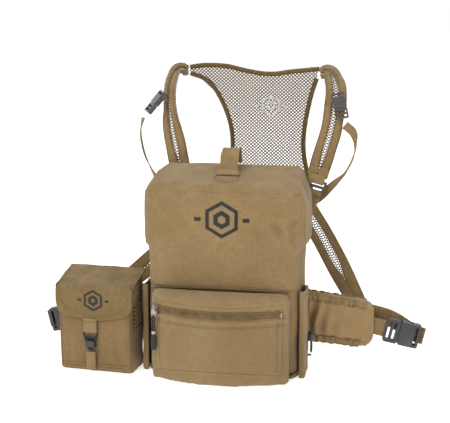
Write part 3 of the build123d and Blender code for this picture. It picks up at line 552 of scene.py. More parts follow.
def wear_group() -> bpy.types.NodeTree:
    """Edge wear: a mask that is high on broken-up outer edges."""
    def build(recipe: Recipe, start: bpy.types.Node) -> dict[str, bpy.types.NodeSocket]:
        """Adds the edge mask."""
        place = recipe.put("ShaderNodeTexCoord").outputs["Object"]
        edge = recipe.put("ShaderNodeNewGeometry").outputs["Pointiness"]
        mask = recipe.spread(edge, 0.52, 0.62)
        patchy = recipe.spread(recipe.noise(place, 160.0), 0.35, 0.6)
        broken = recipe.math("MULTIPLY", mask, patchy)
        return {"Mask": recipe.math("MULTIPLY", broken, start.outputs["Amount"])}
    return effect("edge wear", {"Amount": 0.5}, {"Mask": "NodeSocketFloat"}, build)


def dust_group() -> bpy.types.NodeTree:
    """Dust that lies on what faces up, in patches."""
    def build(recipe: Recipe, start: bpy.types.Node) -> dict[str, bpy.types.NodeSocket]:
        """Adds the dust mask."""
        place = recipe.put("ShaderNodeTexCoord").outputs["Object"]
        facing = recipe.put("ShaderNodeNewGeometry").outputs["Normal"]
        up = recipe.put("ShaderNodeSeparateXYZ", {0: facing}).outputs[2]
        lies = recipe.spread(up, 0.2, 0.95)
        patch = recipe.spread(recipe.noise(place, 60.0, 5.0), 0.4, 0.7)
        both = recipe.math("MULTIPLY", lies, patch)
        return {"Mask": recipe.math("MULTIPLY", both, start.outputs["Amount"])}
    return effect("settled dust", {"Amount": 0.2}, {"Mask": "NodeSocketFloat"}, build)


def grain_group() -> bpy.types.NodeTree:
    """Fine grain of a moulded or cast surface."""
    def build(recipe: Recipe, start: bpy.types.Node) -> dict[str, bpy.types.NodeSocket]:
        """Adds the grain's height and a roughness that drifts with it."""
        place = recipe.put("ShaderNodeTexCoord").outputs["Object"]
        fine = recipe.noise(place, start.outputs["Scale"], 3.0)
        broad = recipe.noise(place, 90.0, 2.0)
        rough = recipe.math("ADD", start.outputs["Roughness"],
                            recipe.spread(broad, 0.3, 0.7, -0.07, 0.07))
        return {"Height": fine, "Roughness": rough}
    outputs = {"Height": "NodeSocketFloat", "Roughness": "NodeSocketFloat"}
    return effect("moulded grain", {"Scale": 1500.0, "Roughness": 0.5}, outputs, build)


class Finish:
    """What every finish shares: one material by its name, with a shader to feed."""

    name: str

    def material(self) -> bpy.types.Material:
        """The finish's material, made the first time it is asked for."""
        known = bpy.data.materials.get(self.name)
        if known:
            return known
        made = bpy.data.materials.new(self.name)
        made.use_nodes = True
        recipe = Recipe(made.node_tree)
        shader = made.node_tree.nodes["Principled BSDF"]
        self.dress(recipe, shader)
        return made

    def dress(self, recipe: Recipe, shader: bpy.types.Node) -> None:
        """Feeds the shader's sockets."""
        raise NotImplementedError

    @staticmethod
    def feed(recipe: Recipe, shader: bpy.types.Node, **feeds: object) -> None:
        """Feeds shader sockets, whose names have spaces for the underscores."""
        for key, value in feeds.items():
            socket = shader.inputs[key.replace("_", " ")]
            if isinstance(value, bpy.types.NodeSocket):
                recipe.tree.links.new(value, socket)
            else:
                socket.default_value = value

    @staticmethod
    def group(recipe: Recipe, tree: bpy.types.NodeTree, **feeds: object) -> dict:
        """Places an effect and returns its outputs by name."""
        node = recipe.put("ShaderNodeGroup", node_tree=tree)
        for key, value in feeds.items():
            socket = node.inputs[key.replace("_", " ")]
            if isinstance(value, bpy.types.NodeSocket):
                recipe.tree.links.new(value, socket)
            else:
                socket.default_value = value
        return {out.name: out for out in node.outputs}

    @staticmethod
    def bump(recipe: Recipe, height: bpy.types.NodeSocket, distance: float,
             under: bpy.types.NodeSocket | None = None) -> bpy.types.NodeSocket:
        """Adds a Bump node of a height in millimetres and returns its normal."""
        feeds = {"Height": height, "Distance": distance * MM, "Strength": 1.0}
        if under is not None:
            feeds["Normal"] = under
        return recipe.put("ShaderNodeBump", feeds).outputs[0]


@dataclass(frozen=True)
class Fabric(Finish):
    """Dyed cloth or webbing, with threads, painted shade between them, uneven dye, dust and faint wrinkles.
    """

    name: str
    colour: tuple[int, int, int]
    shade: tuple[int, int, int]
    pitch: float = 1.1
    depth: float = 0.12
    wrinkle: float = 0.5
    follows: Projection = Projection.PLACE
    sheen: float = 0.15

    def dress(self, recipe: Recipe, shader: bpy.types.Node) -> None:
        """Feeds colour, roughness and the threads' normal."""
        tone = self.group(recipe, tone_group(), Colour=linear(self.colour),
                          Second_colour=linear(self.shade), Scale=16.0, Amount=0.55, Fleck=0.45)
        if self.follows is Projection.STRIP:
            threads = self.group(recipe, rib_group(), Pitch=self.pitch * MM)
        else:
            threads = self.group(recipe, weave_group(), Pitch=self.pitch * MM)
        # Painted shade: the low places between threads are darkened towards a dimmed shade colour.
        gap = recipe.math("MULTIPLY", threads["Gap"], 0.35)
        thread_gap_shaded = recipe.mix(gap, tone["Colour"], linear(self.shade, 0.55))
        wear = self.group(recipe, wear_group(), Amount=0.25)
        worn = recipe.mix(wear["Mask"], thread_gap_shaded, linear(self.colour, 1.25))
        dust = self.group(recipe, dust_group(), Amount=0.12)
        dusty = recipe.mix(dust["Mask"], worn, linear((205, 192, 168)))
        place = recipe.put("ShaderNodeTexCoord").outputs["Object"]
        stretched = recipe.put("ShaderNodeMapping", {0: place, 3: (1.0, 1.0, 0.55)}).outputs[0]
        wrinkles = self.bump(recipe, recipe.noise(stretched, 55.0, 4.0), self.wrinkle)
        normal = self.bump(recipe, threads["Height"], self.depth, wrinkles)
        self.feed(recipe, shader, Base_Color=dusty, Normal=normal,
                  Roughness=recipe.spread(threads["Height"], 0.0, 1.0, 0.95, 0.8),
                  Sheen_Weight=self.sheen, Sheen_Roughness=0.5, Specular_IOR_Level=0.2)


@dataclass(frozen=True)
class Moulded(Finish):
    """Moulded plastic or rubber, with grain, rubbed edges and dust."""

    name: str
    colour: tuple[int, int, int]
    worn: tuple[int, int, int]
    roughness: float = 0.45
    grain: float = 0.03

    def dress(self, recipe: Recipe, shader: bpy.types.Node) -> None:
        """Feeds colour, roughness and the grain's normal."""
        tone = self.group(recipe, tone_group(), Colour=linear(self.colour),
                          Second_colour=linear(self.colour, 0.75), Scale=40.0, Amount=0.5)
        wear = self.group(recipe, wear_group(), Amount=0.8)
        dust = self.group(recipe, dust_group(), Amount=0.25)
        rubbed = recipe.mix(wear["Mask"], tone["Colour"], linear(self.worn))
        dusty = recipe.mix(dust["Mask"], rubbed, linear((150, 143, 132)))
        grain = self.group(recipe, grain_group(), Scale=1700.0, Roughness=self.roughness)
        self.feed(recipe, shader, Base_Color=dusty, Roughness=grain["Roughness"],
                  Normal=self.bump(recipe, grain["Height"], self.grain))


@dataclass(frozen=True)
class Plated(Finish):
    """Plated metal, with fine scratches."""

    name: str
    colour: tuple[int, int, int]
    roughness: float = 0.32

    def dress(self, recipe: Recipe, shader: bpy.types.Node) -> None:
        """Feeds colour, roughness and the scratches' normal."""
        tone = self.group(recipe, tone_group(), Colour=linear(self.colour),
                          Second_colour=linear(self.colour, 0.6), Scale=120.0, Amount=0.5)
        grain = self.group(recipe, grain_group(), Scale=2600.0, Roughness=self.roughness)
        self.feed(recipe, shader, Base_Color=tone["Colour"], Roughness=grain["Roughness"],
                  Metallic=1.0, Normal=self.bump(recipe, grain["Height"], 0.02))


@dataclass(frozen=True)
class Strand(Finish):
    """Thread, cord or net strand: a fine twist on plain dyed yarn."""

    name: str
    colour: tuple[int, int, int]
    twist: float = 0.6
    gloss: float = 0.7

    def dress(self, recipe: Recipe, shader: bpy.types.Node) -> None:
        """Feeds colour, roughness and the twist's normal."""
        tone = self.group(recipe, tone_group(), Colour=linear(self.colour),
                          Second_colour=linear(self.colour, 0.7), Scale=60.0, Amount=0.6)
        twist = self.group(recipe, weave_group(), Pitch=self.twist * MM)
        # Painted shade: the twist's low places are darkened towards a dimmed copy of the yarn colour.
        shaded = recipe.mix(recipe.math("MULTIPLY", twist["Gap"], 0.4), tone["Colour"],
                            linear(self.colour, 0.5))
        self.feed(recipe, shader, Base_Color=shaded, Sheen_Weight=0.1,
                  Roughness=recipe.spread(twist["Height"], 0.0, 1.0, 0.95, self.gloss),
                  Normal=self.bump(recipe, twist["Height"], 0.06))


FLAT_WEBBING = Fabric("tan_webbing_cloth", (158, 133, 92), (126, 102, 64),
                      pitch=1.2, depth=0.15, wrinkle=0.2)
LID_CLOTH = Fabric("lid_cloth", (153, 129, 90), (130, 104, 66), wrinkle=0.8)
BODY_CLOTH = Fabric("body_cloth", (145, 120, 82), (120, 95, 58), wrinkle=0.7)
POCKET_CLOTH = Fabric("pocket_cloth", (149, 127, 90), (128, 103, 66), wrinkle=0.6)
# Dark cloth for the sheet behind the pouch's side bars: painted shadow, not a cloth of its own.
PAINTED_SHADOW_CLOTH = Fabric("gusset_cloth", (92, 76, 48), (70, 56, 34), wrinkle=0.5)
WING_CLOTH = Fabric("wing_cloth", (162, 136, 96), (138, 111, 73), wrinkle=0.9)
POUCH_CLOTH = Fabric("pouch_cloth", (142, 117, 79), (118, 93, 58), wrinkle=0.8)
FLAP_CLOTH = Fabric("flap_cloth", (134, 112, 73), (110, 88, 52), wrinkle=0.5)
WEBBING = Fabric("tan_webbing_weave", (156, 131, 90), (126, 102, 64), pitch=1.4, depth=0.2,
                 wrinkle=0.3, follows=Projection.STRIP)
BINDING = Fabric("olive_binding", (118, 97, 58), (92, 74, 42), pitch=1.3, depth=0.2,
                 wrinkle=0.2, follows=Projection.STRIP)
TAPE = Fabric("zip_tape_weave", (128, 103, 64), (104, 82, 48), pitch=1.0, depth=0.12,
              wrinkle=0.1, follows=Projection.STRIP)
NET = Strand("net_strand", (132, 110, 80), 0.5)
THREAD = Strand("sewing_thread", (120, 97, 56), 0.3)
SEAM_THREAD = Strand("dark_thread", (84, 68, 42), 0.3)
BRAID = Strand("elastic_braid", (44, 41, 38), 0.7, 0.55)
PULL_CORD = Strand("pull_cord", (36, 34, 33), 0.6, 0.55)
BLACK = Moulded("buckle_plastic", (52, 52, 53), (96, 95, 94), 0.42)
GREY_PLASTIC = Moulded("lock_plastic", (74, 71, 70), (112, 109, 107), 0.42)
STIFFENER = Moulded("stiffener_plastic", (40, 40, 42), (80, 80, 80), 0.6)
RUBBER = Moulded("grip_rubber", (40, 39, 38), (70, 68, 66), 0.68, 0.06)
COIL = Moulded("coil_teeth", (112, 92, 58), (150, 130, 95), 0.5)
COLLAR = Moulded("pale_collar", (186, 178, 166), (210, 205, 196), 0.5)
FOAM = Moulded("cut_foam", (60, 58, 55), (90, 88, 84), 0.95, 0.3)
ZIP_METAL = Plated("slider_metal", (190, 186, 178))
SPRING = Plated("spring_steel", (150, 150, 152), 0.25)
MAGNET = Plated("magnet_plate", (160, 160, 165), 0.3)
DARK_MARK = Moulded("dark_print", (34, 33, 30), (60, 58, 52), 0.7)
PALE_MARK = Moulded("pale_print", (206, 203, 198), (220, 218, 214), 0.6)


def dress(made: bpy.types.Object, finish: Finish) -> bpy.types.Object:
    """Gives a piece its finish.

    Args:
        made: The piece.
        finish: Its finish.

    Returns:
        The piece.
    """
    made.data.materials.clear()
    made.data.materials.append(finish.material())
    return made


def dress_node(node: str, finish: Finish, bevel: float = 0.35) -> None:
    """Gives a CAD node its finish and rounds its edges.

    Args:
        node: The node's name.
        finish: Its finish.
        bevel: The width of the rounding, in millimetres.
    """
    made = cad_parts[node]
    if not made.material_slots:
        made.data.materials.append(finish.material())
    for held in made.material_slots:
        held.link = "DATA"
        held.material = finish.material()
    weld = made.modifiers.new("weld", "WELD")
    weld.merge_threshold = 1e-5
    if bevel:
        rounding = made.modifiers.new("rounding", "BEVEL")
        rounding.width = bevel * MM
        rounding.segments = 2
        rounding.limit_method = "ANGLE"
        rounding.angle_limit = math.radians(35)
        rounding.use_clamp_overlap = True
    LOG.info("%s: dressed as %s", node, finish.name)


def place(made: bpy.types.Object, body: str, nodes: Sequence[str] = ()) -> bpy.types.Object:
    """Seats a piece on its body and hides the CAD nodes it stands for.

    Args:
        made: The piece.
        body: The CAD body it rides on.
        nodes: The CAD nodes it replaces.

    Returns:
        The piece.
    """
    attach(made, body)
    if nodes:
        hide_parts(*nodes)
    LOG.info("%s: on %s", made.name, body)
    return made


def bend(made: bpy.types.Object, bodies: tuple[str, str],
         nodes: Sequence[str] = ()) -> bpy.types.Object:
    """Bakes a piece's place into its mesh, for a piece that runs between two bodies, and hides the CAD nodes
    it replaces.

    Args:
        made: The piece.
        bodies: The two bodies.
        nodes: The CAD nodes it replaces.

    Returns:
        The piece.
    """
    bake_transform(made)
    if nodes:
        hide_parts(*nodes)
    LOG.info("%s: between %s and %s", made.name, *bodies)
    return made


@dataclass(frozen=True)
class Fold:
    """A valley pushed into cloth along a line, with a ridge on one side of it."""

    line: tuple[tuple[float, float, float], ...]
    out: tuple[float, float, float]
    depth: float = 1.2
    width: float = 2.5
    ridge: tuple[float, float, float] = (0.0, 0.0, 0.0)

    def push(self, points: np.ndarray) -> np.ndarray:
        """Works out how far the fold moves each point.

        Args:
            points: The cloth's points, in millimetres.

        Returns:
            A shift for each point.
        """
        line = curve_through(self.line, 8)
        gaps = points[:, None, :] - line[None]
        far = np.linalg.norm(gaps, axis=2)
        near = far.argmin(axis=1)
        rows = np.arange(len(points))
        share = near / (len(line) - 1)
        ease = smoothstep(np.minimum(share, 1 - share) * 3.2 + 0.12)
        distance = far[rows, near]
        valley = -np.exp(-((distance / self.width) ** 2))
        beside = gaps[rows, near] @ np.array(self.ridge, float)
        hump = np.exp(-(((beside - 1.7 * self.width) / (1.1 * self.width)) ** 2))
        hump = hump * np.exp(-((distance / (3.5 * self.width)) ** 2))
        if not any(self.ridge):
            hump = np.zeros(len(points))
        size = self.depth * ease * (valley + 0.7 * hump)
        return size[:, None] * unit(np.array(self.out))


def sway(points: np.ndarray, seed: int, wavelength: float, height: float) -> np.ndarray:
    """A slow uneven swell of cloth.

    Args:
        points: Places, in millimetres.
        seed: The seed of its directions.
        wavelength: The distance between swells.
        height: About how high they are.

    Returns:
        A number for each point.
    """
    draw = random.Random(seed)
    total = np.zeros(len(points))
    for _ in range(7):
        heading = unit(np.array([draw.gauss(0, 1) for _ in range(3)]))
        rate = 2 * math.pi / (wavelength * draw.uniform(0.7, 1.5))
        total += np.sin(points @ heading * rate + draw.uniform(0, 6.28))
    return total * height / 2.6


def inflate(made: bpy.types.Object, cap: float, pressure: float = 4.0, frames: int = 20) -> bpy.types.Object:
    """Args:
        made: The pad.
        cap: How far a point may move, in millimetres.
        pressure: The air pressure inside.
        frames: How many frames it runs.

    Returns:
        The pad, with the result in its mesh.
    """
    scene = bpy.context.scene
    before = vertex_array(made)
    cloth = made.modifiers.new("swell", "CLOTH")
    cloth.settings.use_pressure = True
    cloth.settings.uniform_pressure_force = pressure
    cloth.settings.effector_weights.gravity = 0.0
    cloth.settings.quality = 4
    cloth.collision_settings.use_collision = False
    cloth.point_cache.frame_start, cloth.point_cache.frame_end = 1, frames
    for step in range(1, frames + 1):
        scene.frame_set(step)
    swollen = made.evaluated_get(bpy.context.evaluated_depsgraph_get())
    flat = np.zeros(len(before) * 3, np.float32)
    swollen.data.vertices.foreach_get("co", flat)
    made.modifiers.remove(cloth)
    scene.frame_set(1)
    shift = flat.reshape(-1, 3) / MM - before
    shift = np.nan_to_num(shift)
    size = np.linalg.norm(shift, axis=1, keepdims=True)
    set_vertices(made, before + shift * np.minimum(1.0, cap / np.maximum(size, 1e-6)))
    return made


def finer(made: bpy.types.Object) -> bpy.types.Object:
    """Subdivides a mesh once and keeps the result."""
    step = made.modifiers.new("finer", "SUBSURF")
    step.levels = step.render_levels = 1
    return baked(made)


class Surface:
    """A piece's surface that threads, marks and patches are laid on."""

    def __init__(self, made: bpy.types.Object) -> None:
        """Reads the piece's mesh."""
        mesh = made.data
        points = vertex_array(made)
        self.tree = BVHTree.FromPolygons(points.tolist(), [tuple(p.vertices) for p in mesh.polygons])

    def drop(self, points: np.ndarray, heading: Point, lift: float = 0.0) -> np.ndarray:
        """Drops points on the surface.

        Args:
            points: Places near it, in millimetres.
            heading: The way they fall.
            lift: How far above it they stop.

        Returns:
            The places on the surface, or the old ones where nothing is below.
        """
        down = Vector(heading).normalized()
        out = []
        for point in np.asarray(points, float):
            start = Vector(point) - down * 40
            hit = self.tree.ray_cast(start, down, 90)[0]
            held = Vector(point) if hit is None else hit
            out.append(np.array(held) - np.array(down) * lift)
        return np.array(out)

    def nearest(self, points: np.ndarray, lift: float = 0.0) -> np.ndarray:
        """Moves points to the nearest place on the surface.

        Args:
            points: Places near it.
            lift: How far off it they stop.

        Returns:
            The places.
        """
        out = []
        for point in np.asarray(points, float):
            hit, normal = self.tree.find_nearest(Vector(point))[:2]
            out.append(np.array(hit) + np.array(normal) * lift)
        return np.array(out)


def seam(name: str, line: np.ndarray, finish: Finish = THREAD, pitch: float = 3.2,
         thick: float = 0.32) -> bpy.types.Object:
    """Lays a row of stitches along a line.

    Args:
        name: The piece's name.
        line: The line, in millimetres, already on the cloth.
        finish: The thread.
        pitch: The distance from stitch to stitch.
        thick: The thread's radius.

    Returns:
        One piece holding all the stitches.
    """
    along = run_length(line)
    count = max(2, int(along[-1] / pitch))
    points, faces = [], []
    turn = np.linspace(0, 2 * math.pi, 5, endpoint=False)
    for i in range(count):
        marks = (i + np.array([0.1, 0.25, 0.6, 0.75])) * along[-1] / count
        spine = np.stack([np.interp(marks, along, line[:, k]) for k in range(3)], axis=1)
        heading = unit(spine[-1] - spine[0])
        side = np.cross(heading, (0.0, 0.0, 1.0))
        if np.linalg.norm(side) < 0.2:
            side = np.cross(heading, (0.0, 1.0, 0.0))
        side = unit(side)
        other = np.cross(heading, side)
        base = len(points)
        for centre, share in zip(spine, (0.35, 1.0, 1.0, 0.35)):
            for angle in turn:
                points.append(centre + thick * share * (math.cos(angle) * side + math.sin(angle) * other))
        for row in range(3):
            for k in range(5):
                m = (k + 1) % 5
                faces.append((base + row * 5 + k, base + row * 5 + m,
                              base + row * 5 + 5 + m, base + row * 5 + 5 + k))
        faces.append(tuple(base + k for k in range(4, -1, -1)))
        faces.append(tuple(base + 15 + k for k in range(5)))
    made = mesh_object(name, np.array(points), faces)
    return dress(made, finish)


def slab(name: str, top: np.ndarray, low: np.ndarray, ring: bool = False) -> bpy.types.Object:
    """Makes a closed thin piece from two matching grids.

    Args:
        name: The piece's name.
        top: Rows by columns by 3, the upper face.
        low: The lower face, of the same shape.
        ring: Whether the last row joins the first.

    Returns:
        The new object, with strip coordinates from its grid.
    """
    rows, columns = top.shape[:2]
    size = rows * columns
    faces = []
    for i in range(rows if ring else rows - 1):
        j = (i + 1) % rows
        for k in range(columns - 1):
            quad = (i * columns + k, i * columns + k + 1, j * columns + k + 1, j * columns + k)
            faces.append(quad)
            faces.append(tuple(size + v for v in reversed(quad)))
        for k in (0, columns - 1):
            a, b = i * columns + k, j * columns + k
            faces.append((a, b, size + b, size + a))
    if not ring:
        for i in (0, rows - 1):
            for k in range(columns - 1):
                a, b = i * columns + k, i * columns + k + 1
                faces.append((a, b, size + b, size + a))
    across = np.linalg.norm(top - top[:, :1], axis=2)
    along = np.repeat(run_length(top[:, columns // 2])[:, None], columns, 1)
    strip = np.stack([across, along], axis=2).reshape(-1, 2)
    points = np.concatenate([top.reshape(-1, 3), low.reshape(-1, 3)])
    return oriented(mesh_object(name, points, faces, np.concatenate([strip, strip])))


@dataclass(frozen=True)
class PackMark:
    """A plain sign, a six-sided ring round a smaller one with a bar through it."""

    radius: float = 21.0
    rim: float = 4.4
    bar: float = 62.0

    def lay(self, name: str, surface: Surface | None, centre: Point, right: Point, up: Point,
            finish: Finish, size: float = 1.0) -> bpy.types.Object:
        """Lays the sign on a surface.

        Args:
            name: The piece's name.
            surface: What it lies on, or None for the flat place it is given.
            centre: Its middle.
            right: Its rightward direction.
            up: Its upward direction.
            finish: The print's finish.
            size: A factor on its size.

        Returns:
            The sign as one piece.
        """
        axes = np.array([unit(np.array(right, float)), unit(np.array(up, float))])
        inward = -np.cross(axes[0], axes[1])
        inward = -inward if inward[1] < 0 else inward
        angle = np.linspace(0, 2 * math.pi, 72, endpoint=False)
        flat_side = math.cos(math.pi / 6) / np.cos((angle + math.pi / 6) % (math.pi / 3) - math.pi / 6)
        shapes = []
        for outer, inner in ((self.radius, self.radius - self.rim), (self.radius * 0.5, self.radius * 0.24)):
            radii = np.linspace(inner, outer, 4)[None] * flat_side[:, None]
            ring = np.stack([radii * np.cos(angle)[:, None], radii * np.sin(angle)[:, None]], 2)
            shapes.append((ring, True))
        for sign in (-1, 1):
            x, y = np.meshgrid(np.linspace(sign * self.radius * 1.12, sign * self.bar / 2, 8),
                               np.linspace(-2.2, 2.2, 4), indexing="ij")
            shapes.append((np.stack([x, y], axis=2), False))
        parts = []
        for i, (flat, ring) in enumerate(shapes):
            spread = np.array(centre, float) + size * flat @ axes
            held = spread
            if surface is not None:
                held = surface.drop(spread.reshape(-1, 3), inward, 0.0).reshape(spread.shape)
            parts.append(slab(f"{name}_{i}", held - inward * 0.28, held + inward * 0.25, ring))
        return dress(joined(name, parts), finish)


def net(name: str, outline: np.ndarray, axes: tuple[Point, Point], cell: float = 4.2,
        row: float = 2.4, strand: float = 1.1) -> bpy.types.Object:
    """Makes an open diamond net that fills a flat outline.

    Args:
        name: The piece's name.
        outline: The closed outline as pairs along the two axes.
        axes: Directions of the outline's pairs.
        cell: A diamond's width.
        row: A diamond's height.
        strand: The strands' width.

    Returns:
        The net as one closed piece, at the origin of its axes.
    """
    low, high = outline.min(0), outline.max(0)
    corners: dict[tuple[int, int], int] = {}
    points, faces = [], []

    def corner(i: int, j: int) -> int:
        """The number of a lattice point, made when first asked for."""
        if (i, j) not in corners:
            corners[(i, j)] = len(points)
            points.append((low[0] + i * cell / 2, low[1] + j * row / 2))
        return corners[(i, j)]

    columns, rows = int((high[0] - low[0]) / cell * 2) + 3, int((high[1] - low[1]) / row * 2) + 3
    for j in range(0, rows):
        for i in range(j % 2, columns, 2):
            middle = np.array([low[0] + i * cell / 2, low[1] + j * row / 2])
            spans = ((0, 0), (cell / 2, 0), (-cell / 2, 0), (0, row / 2), (0, -row / 2))
            if all(inside(outline, middle + np.array(span)) for span in spans):
                faces.append((corner(i - 1, j), corner(i, j - 1), corner(i + 1, j), corner(i, j + 1)))
    flat = np.array(points) @ np.array([axes[0], axes[1]], float)
    made = mesh_object(name, flat, faces)
    wire = made.modifiers.new("strands", "WIREFRAME")
    wire.thickness = strand * MM
    wire.use_replace = True
    wire.use_even_offset = False
    wire.use_boundary = True
    made = baked(made)
    return made


def inside(outline: np.ndarray, point: np.ndarray) -> bool:
    """Whether a point lies in a closed flat outline."""
    x, y = outline[:, 0], outline[:, 1]
    x2, y2 = np.roll(x, -1), np.roll(y, -1)
    crosses = (y > point[1]) != (y2 > point[1])
    slope = (x2 - x) * (point[1] - y) / np.where(y2 == y, 1e-9, y2 - y) + x
    return bool(np.sum(crosses & (point[0] < slope)) % 2)


def flat_arc(radius: float, half_run: float, z: float, count: int = 90) -> np.ndarray:
    """Points along the pocket's curved front at one height."""
    sweep_angle = math.asin(half_run / POCKET_ARC)
    angle = np.linspace(-sweep_angle, sweep_angle, count)
    return np.stack([radius * np.sin(angle), POCKET_CENTRE_Y - radius * np.cos(angle),
                     np.full(count, z)], axis=1)


@dataclass
class Hood:
    """The lid over the binocular bay, with its pull tab and printed sign."""

    panel_low: float = 104.5
    panel_top: float = 212.0
    ridges: tuple[Fold, ...] = (
        Fold(((56, -40, 194), (66, -40, 178), (77, -39, 160)), (0, -1, 0), -3.2, 3.2),
        Fold(((74, -39, 192), (72, -39, 174), (79, -38, 148)), (0.1, -1, 0), -3.2, 2.6),
        Fold(((88, -27, 192), (86, -28, 172), (88, -27, 152)), (0.7, -1, 0), -2.4, 2.4),
        Fold(((22, -39, 176), (38, -39, 164), (54, -39, 150)), (0, -1, 0), -2.0, 5.0),
        Fold(((-84, -34, 208), (-76, -39, 199), (-58, -39, 193)), (0, -1, 0), -1.8, 3.6),
        Fold(((-82, -38, 148), (-60, -39, 156), (-28, -39, 151)), (0, -1, 0), -1.6, 5.0),
        Fold(((52, -39, 209), (66, -39, 204), (82, -36, 206)), (0, -1, 0), -1.8, 3.0),
    )
    folds: tuple[Fold, ...] = (
        Fold(((58, -39, 186), (66, -39, 173), (77, -38, 160)), (0, -1, 0), 4.2, 5.0, (-0.5, 0, -0.8)),
        Fold(((82, -34, 190), (80, -36, 174), (84, -34, 152)), (0.4, -1, 0), 5.0, 4.6, (-1, 0, 0)),
        Fold(((28, -39, 160), (44, -39, 154), (66, -39, 150)), (0, -1, 0), 2.4, 5.5, (0, 0, 1)),
        Fold(((40, -39, 176), (50, -39, 166), (56, -39, 158)), (0, -1, 0), 2.2, 5.0, (-1, 0, -0.4)),
        Fold(((91, -20, 190), (90, -18, 172), (91, -16, 154)), (1, -0.3, 0), 2.2, 3.0, (0, -1, 0)),
        Fold(((34, -39, 168), (44, -39, 158), (50, -39, 152)), (0, -1, 0), 0.9, 4.0, (-1, 0, 0.4)),
        Fold(((66, -39, 212), (76, -38, 206), (84, -36, 206)), (0, -1, 0.2), 2.0, 3.4, (0, 0, 1)),
        Fold(((-80, -37, 214), (-76, -39, 204), (-78, -38, 190)), (0, -1, 0), 1.8, 4.0, (1, 0, 0)),
        Fold(((-60, -39, 158), (-30, -39, 154), (0, -39, 157)), (0, -1, 0), 0.8, 3.0, (0, 0, 1)),
        Fold(((-70, -39, 178), (-56, -39, 170), (-50, -39, 158)), (0, -1, 0), 0.7, 4.5, (1, 0, 0.4)),
        Fold(((80, 10, 222), (86, 18, 212), (90, 24, 196)), (1, 0, 0.5), 1.4, 3.0, (0, 1, 0)),
        Fold(((-80, 10, 222), (-86, 18, 212), (-90, 24, 196)), (-1, 0, 0.5), 1.4, 3.0, (0, 1, 0)),
    )

    def build(self) -> None:
        """Makes the lid, its tab, patch, threads and sign."""
        cover = soft_copy("hood_cover", "hood_shell", 1.3, 8)
        points = vertex_array(cover)
        heading = points - np.array([0, 5, 175.0])
        heading[:, 2] = np.maximum(heading[:, 2], 0)
        points = points + unit(heading) * sway(points, 3, 62, 0.8)[:, None]
        for fold in self.folds:
            points = points + fold.push(points)
        edge = np.exp(-(((points[:, 2] - 154) / 1.3) ** 2)) * 0.5
        points = points - unit(heading * [1, 1, 0]) * edge[:, None]
        set_vertices(cover, points)
        dress(cover, LID_CLOTH)
        place(cover, "hood", ["hood_shell"])
        surface = Surface(cover)
        self.tab(surface)
        front = Surface(self.front_panel(surface))
        sign = PackMark().lay("hood_sign", front, (1, -60, 183), (1, 0, 0), (0, 0, 1), DARK_MARK)
        place(sign, "hood")

    def tab(self, surface: Surface) -> None:
        """Adds the finger loop and the stitched patch it springs from."""
        route = curve_through([(0, 2, 225.6), (0, 9, 228.4), (0, 14, 231), (0, 19, 243), (0, 26, 249.5),
                               (0, 34, 251), (0, 41, 247), (0, 43.6, 240.5), (0, 42.4, 234.0)], 8)
        across = np.tile([1.0, 0.0, 0.0], (len(route), 1))
        share = np.linspace(0, 1, len(route))
        width = 21 + 6 * (1 - smoothstep(share * 3.0)) + 0.8 * np.sin(share * 21)
        loop = ribbon("pull_loop", route, across, width, 2.0)
        points = vertex_array(loop)
        gather = np.exp(-(((points[:, 2] - 233.5) / 4.0) ** 2))
        points[:, 1] -= gather * 1.6 * np.cos(points[:, 0] / 13 * math.pi * 0.5)
        points += unit(np.stack([0 * points[:, 0], -(points[:, 2] - 238), points[:, 1] - 30], 1)) * \
            sway(points, 5, 14, 0.35)[:, None]
        set_vertices(loop, points)
        place(dress(finer(loop), LID_CLOTH), "hood", ["pull_tab"])
        rows = np.array([(-18, 1.2), (-14, 9), (-11, 15), (-6, 15.6), (2, 15.8), (10, 16), (18.5, 16)])
        rows = curve_through(rows, 4)
        x = np.linspace(-1, 1, 25)
        grid = np.stack([rows[:, 1:] * x[None], np.repeat(rows[:, :1], 25, 1),
                         np.full((len(rows), 25), 250.0)], 2)
        down = surface.drop(grid.reshape(-1, 3), (0, 0, -1), 0).reshape(grid.shape)
        crown = 1.1 * (1 - np.abs(x) ** 6)[None, :, None] * [0, 0, 1]
        patch = slab("tab_patch", down + crown, down - [0, 0, 0.4])
        place(dress(finer(patch), LID_CLOTH), "hood", ["pull_tab_patch"])
        outline = [(-13, 17, 0), (-13, -9.5, 0), (0, -15.5, 0), (13, -9.5, 0), (13, 17, 0)]
        line = np.concatenate([np.linspace(a, b, 14)[:-1] for a, b in zip(outline, outline[1:])])
        line = surface.drop(line + [0, 0, 250.0], (0, 0, -1), 1.15)
        place(seam("patch_stitches", line, THREAD, 2.6, 0.3), "hood")

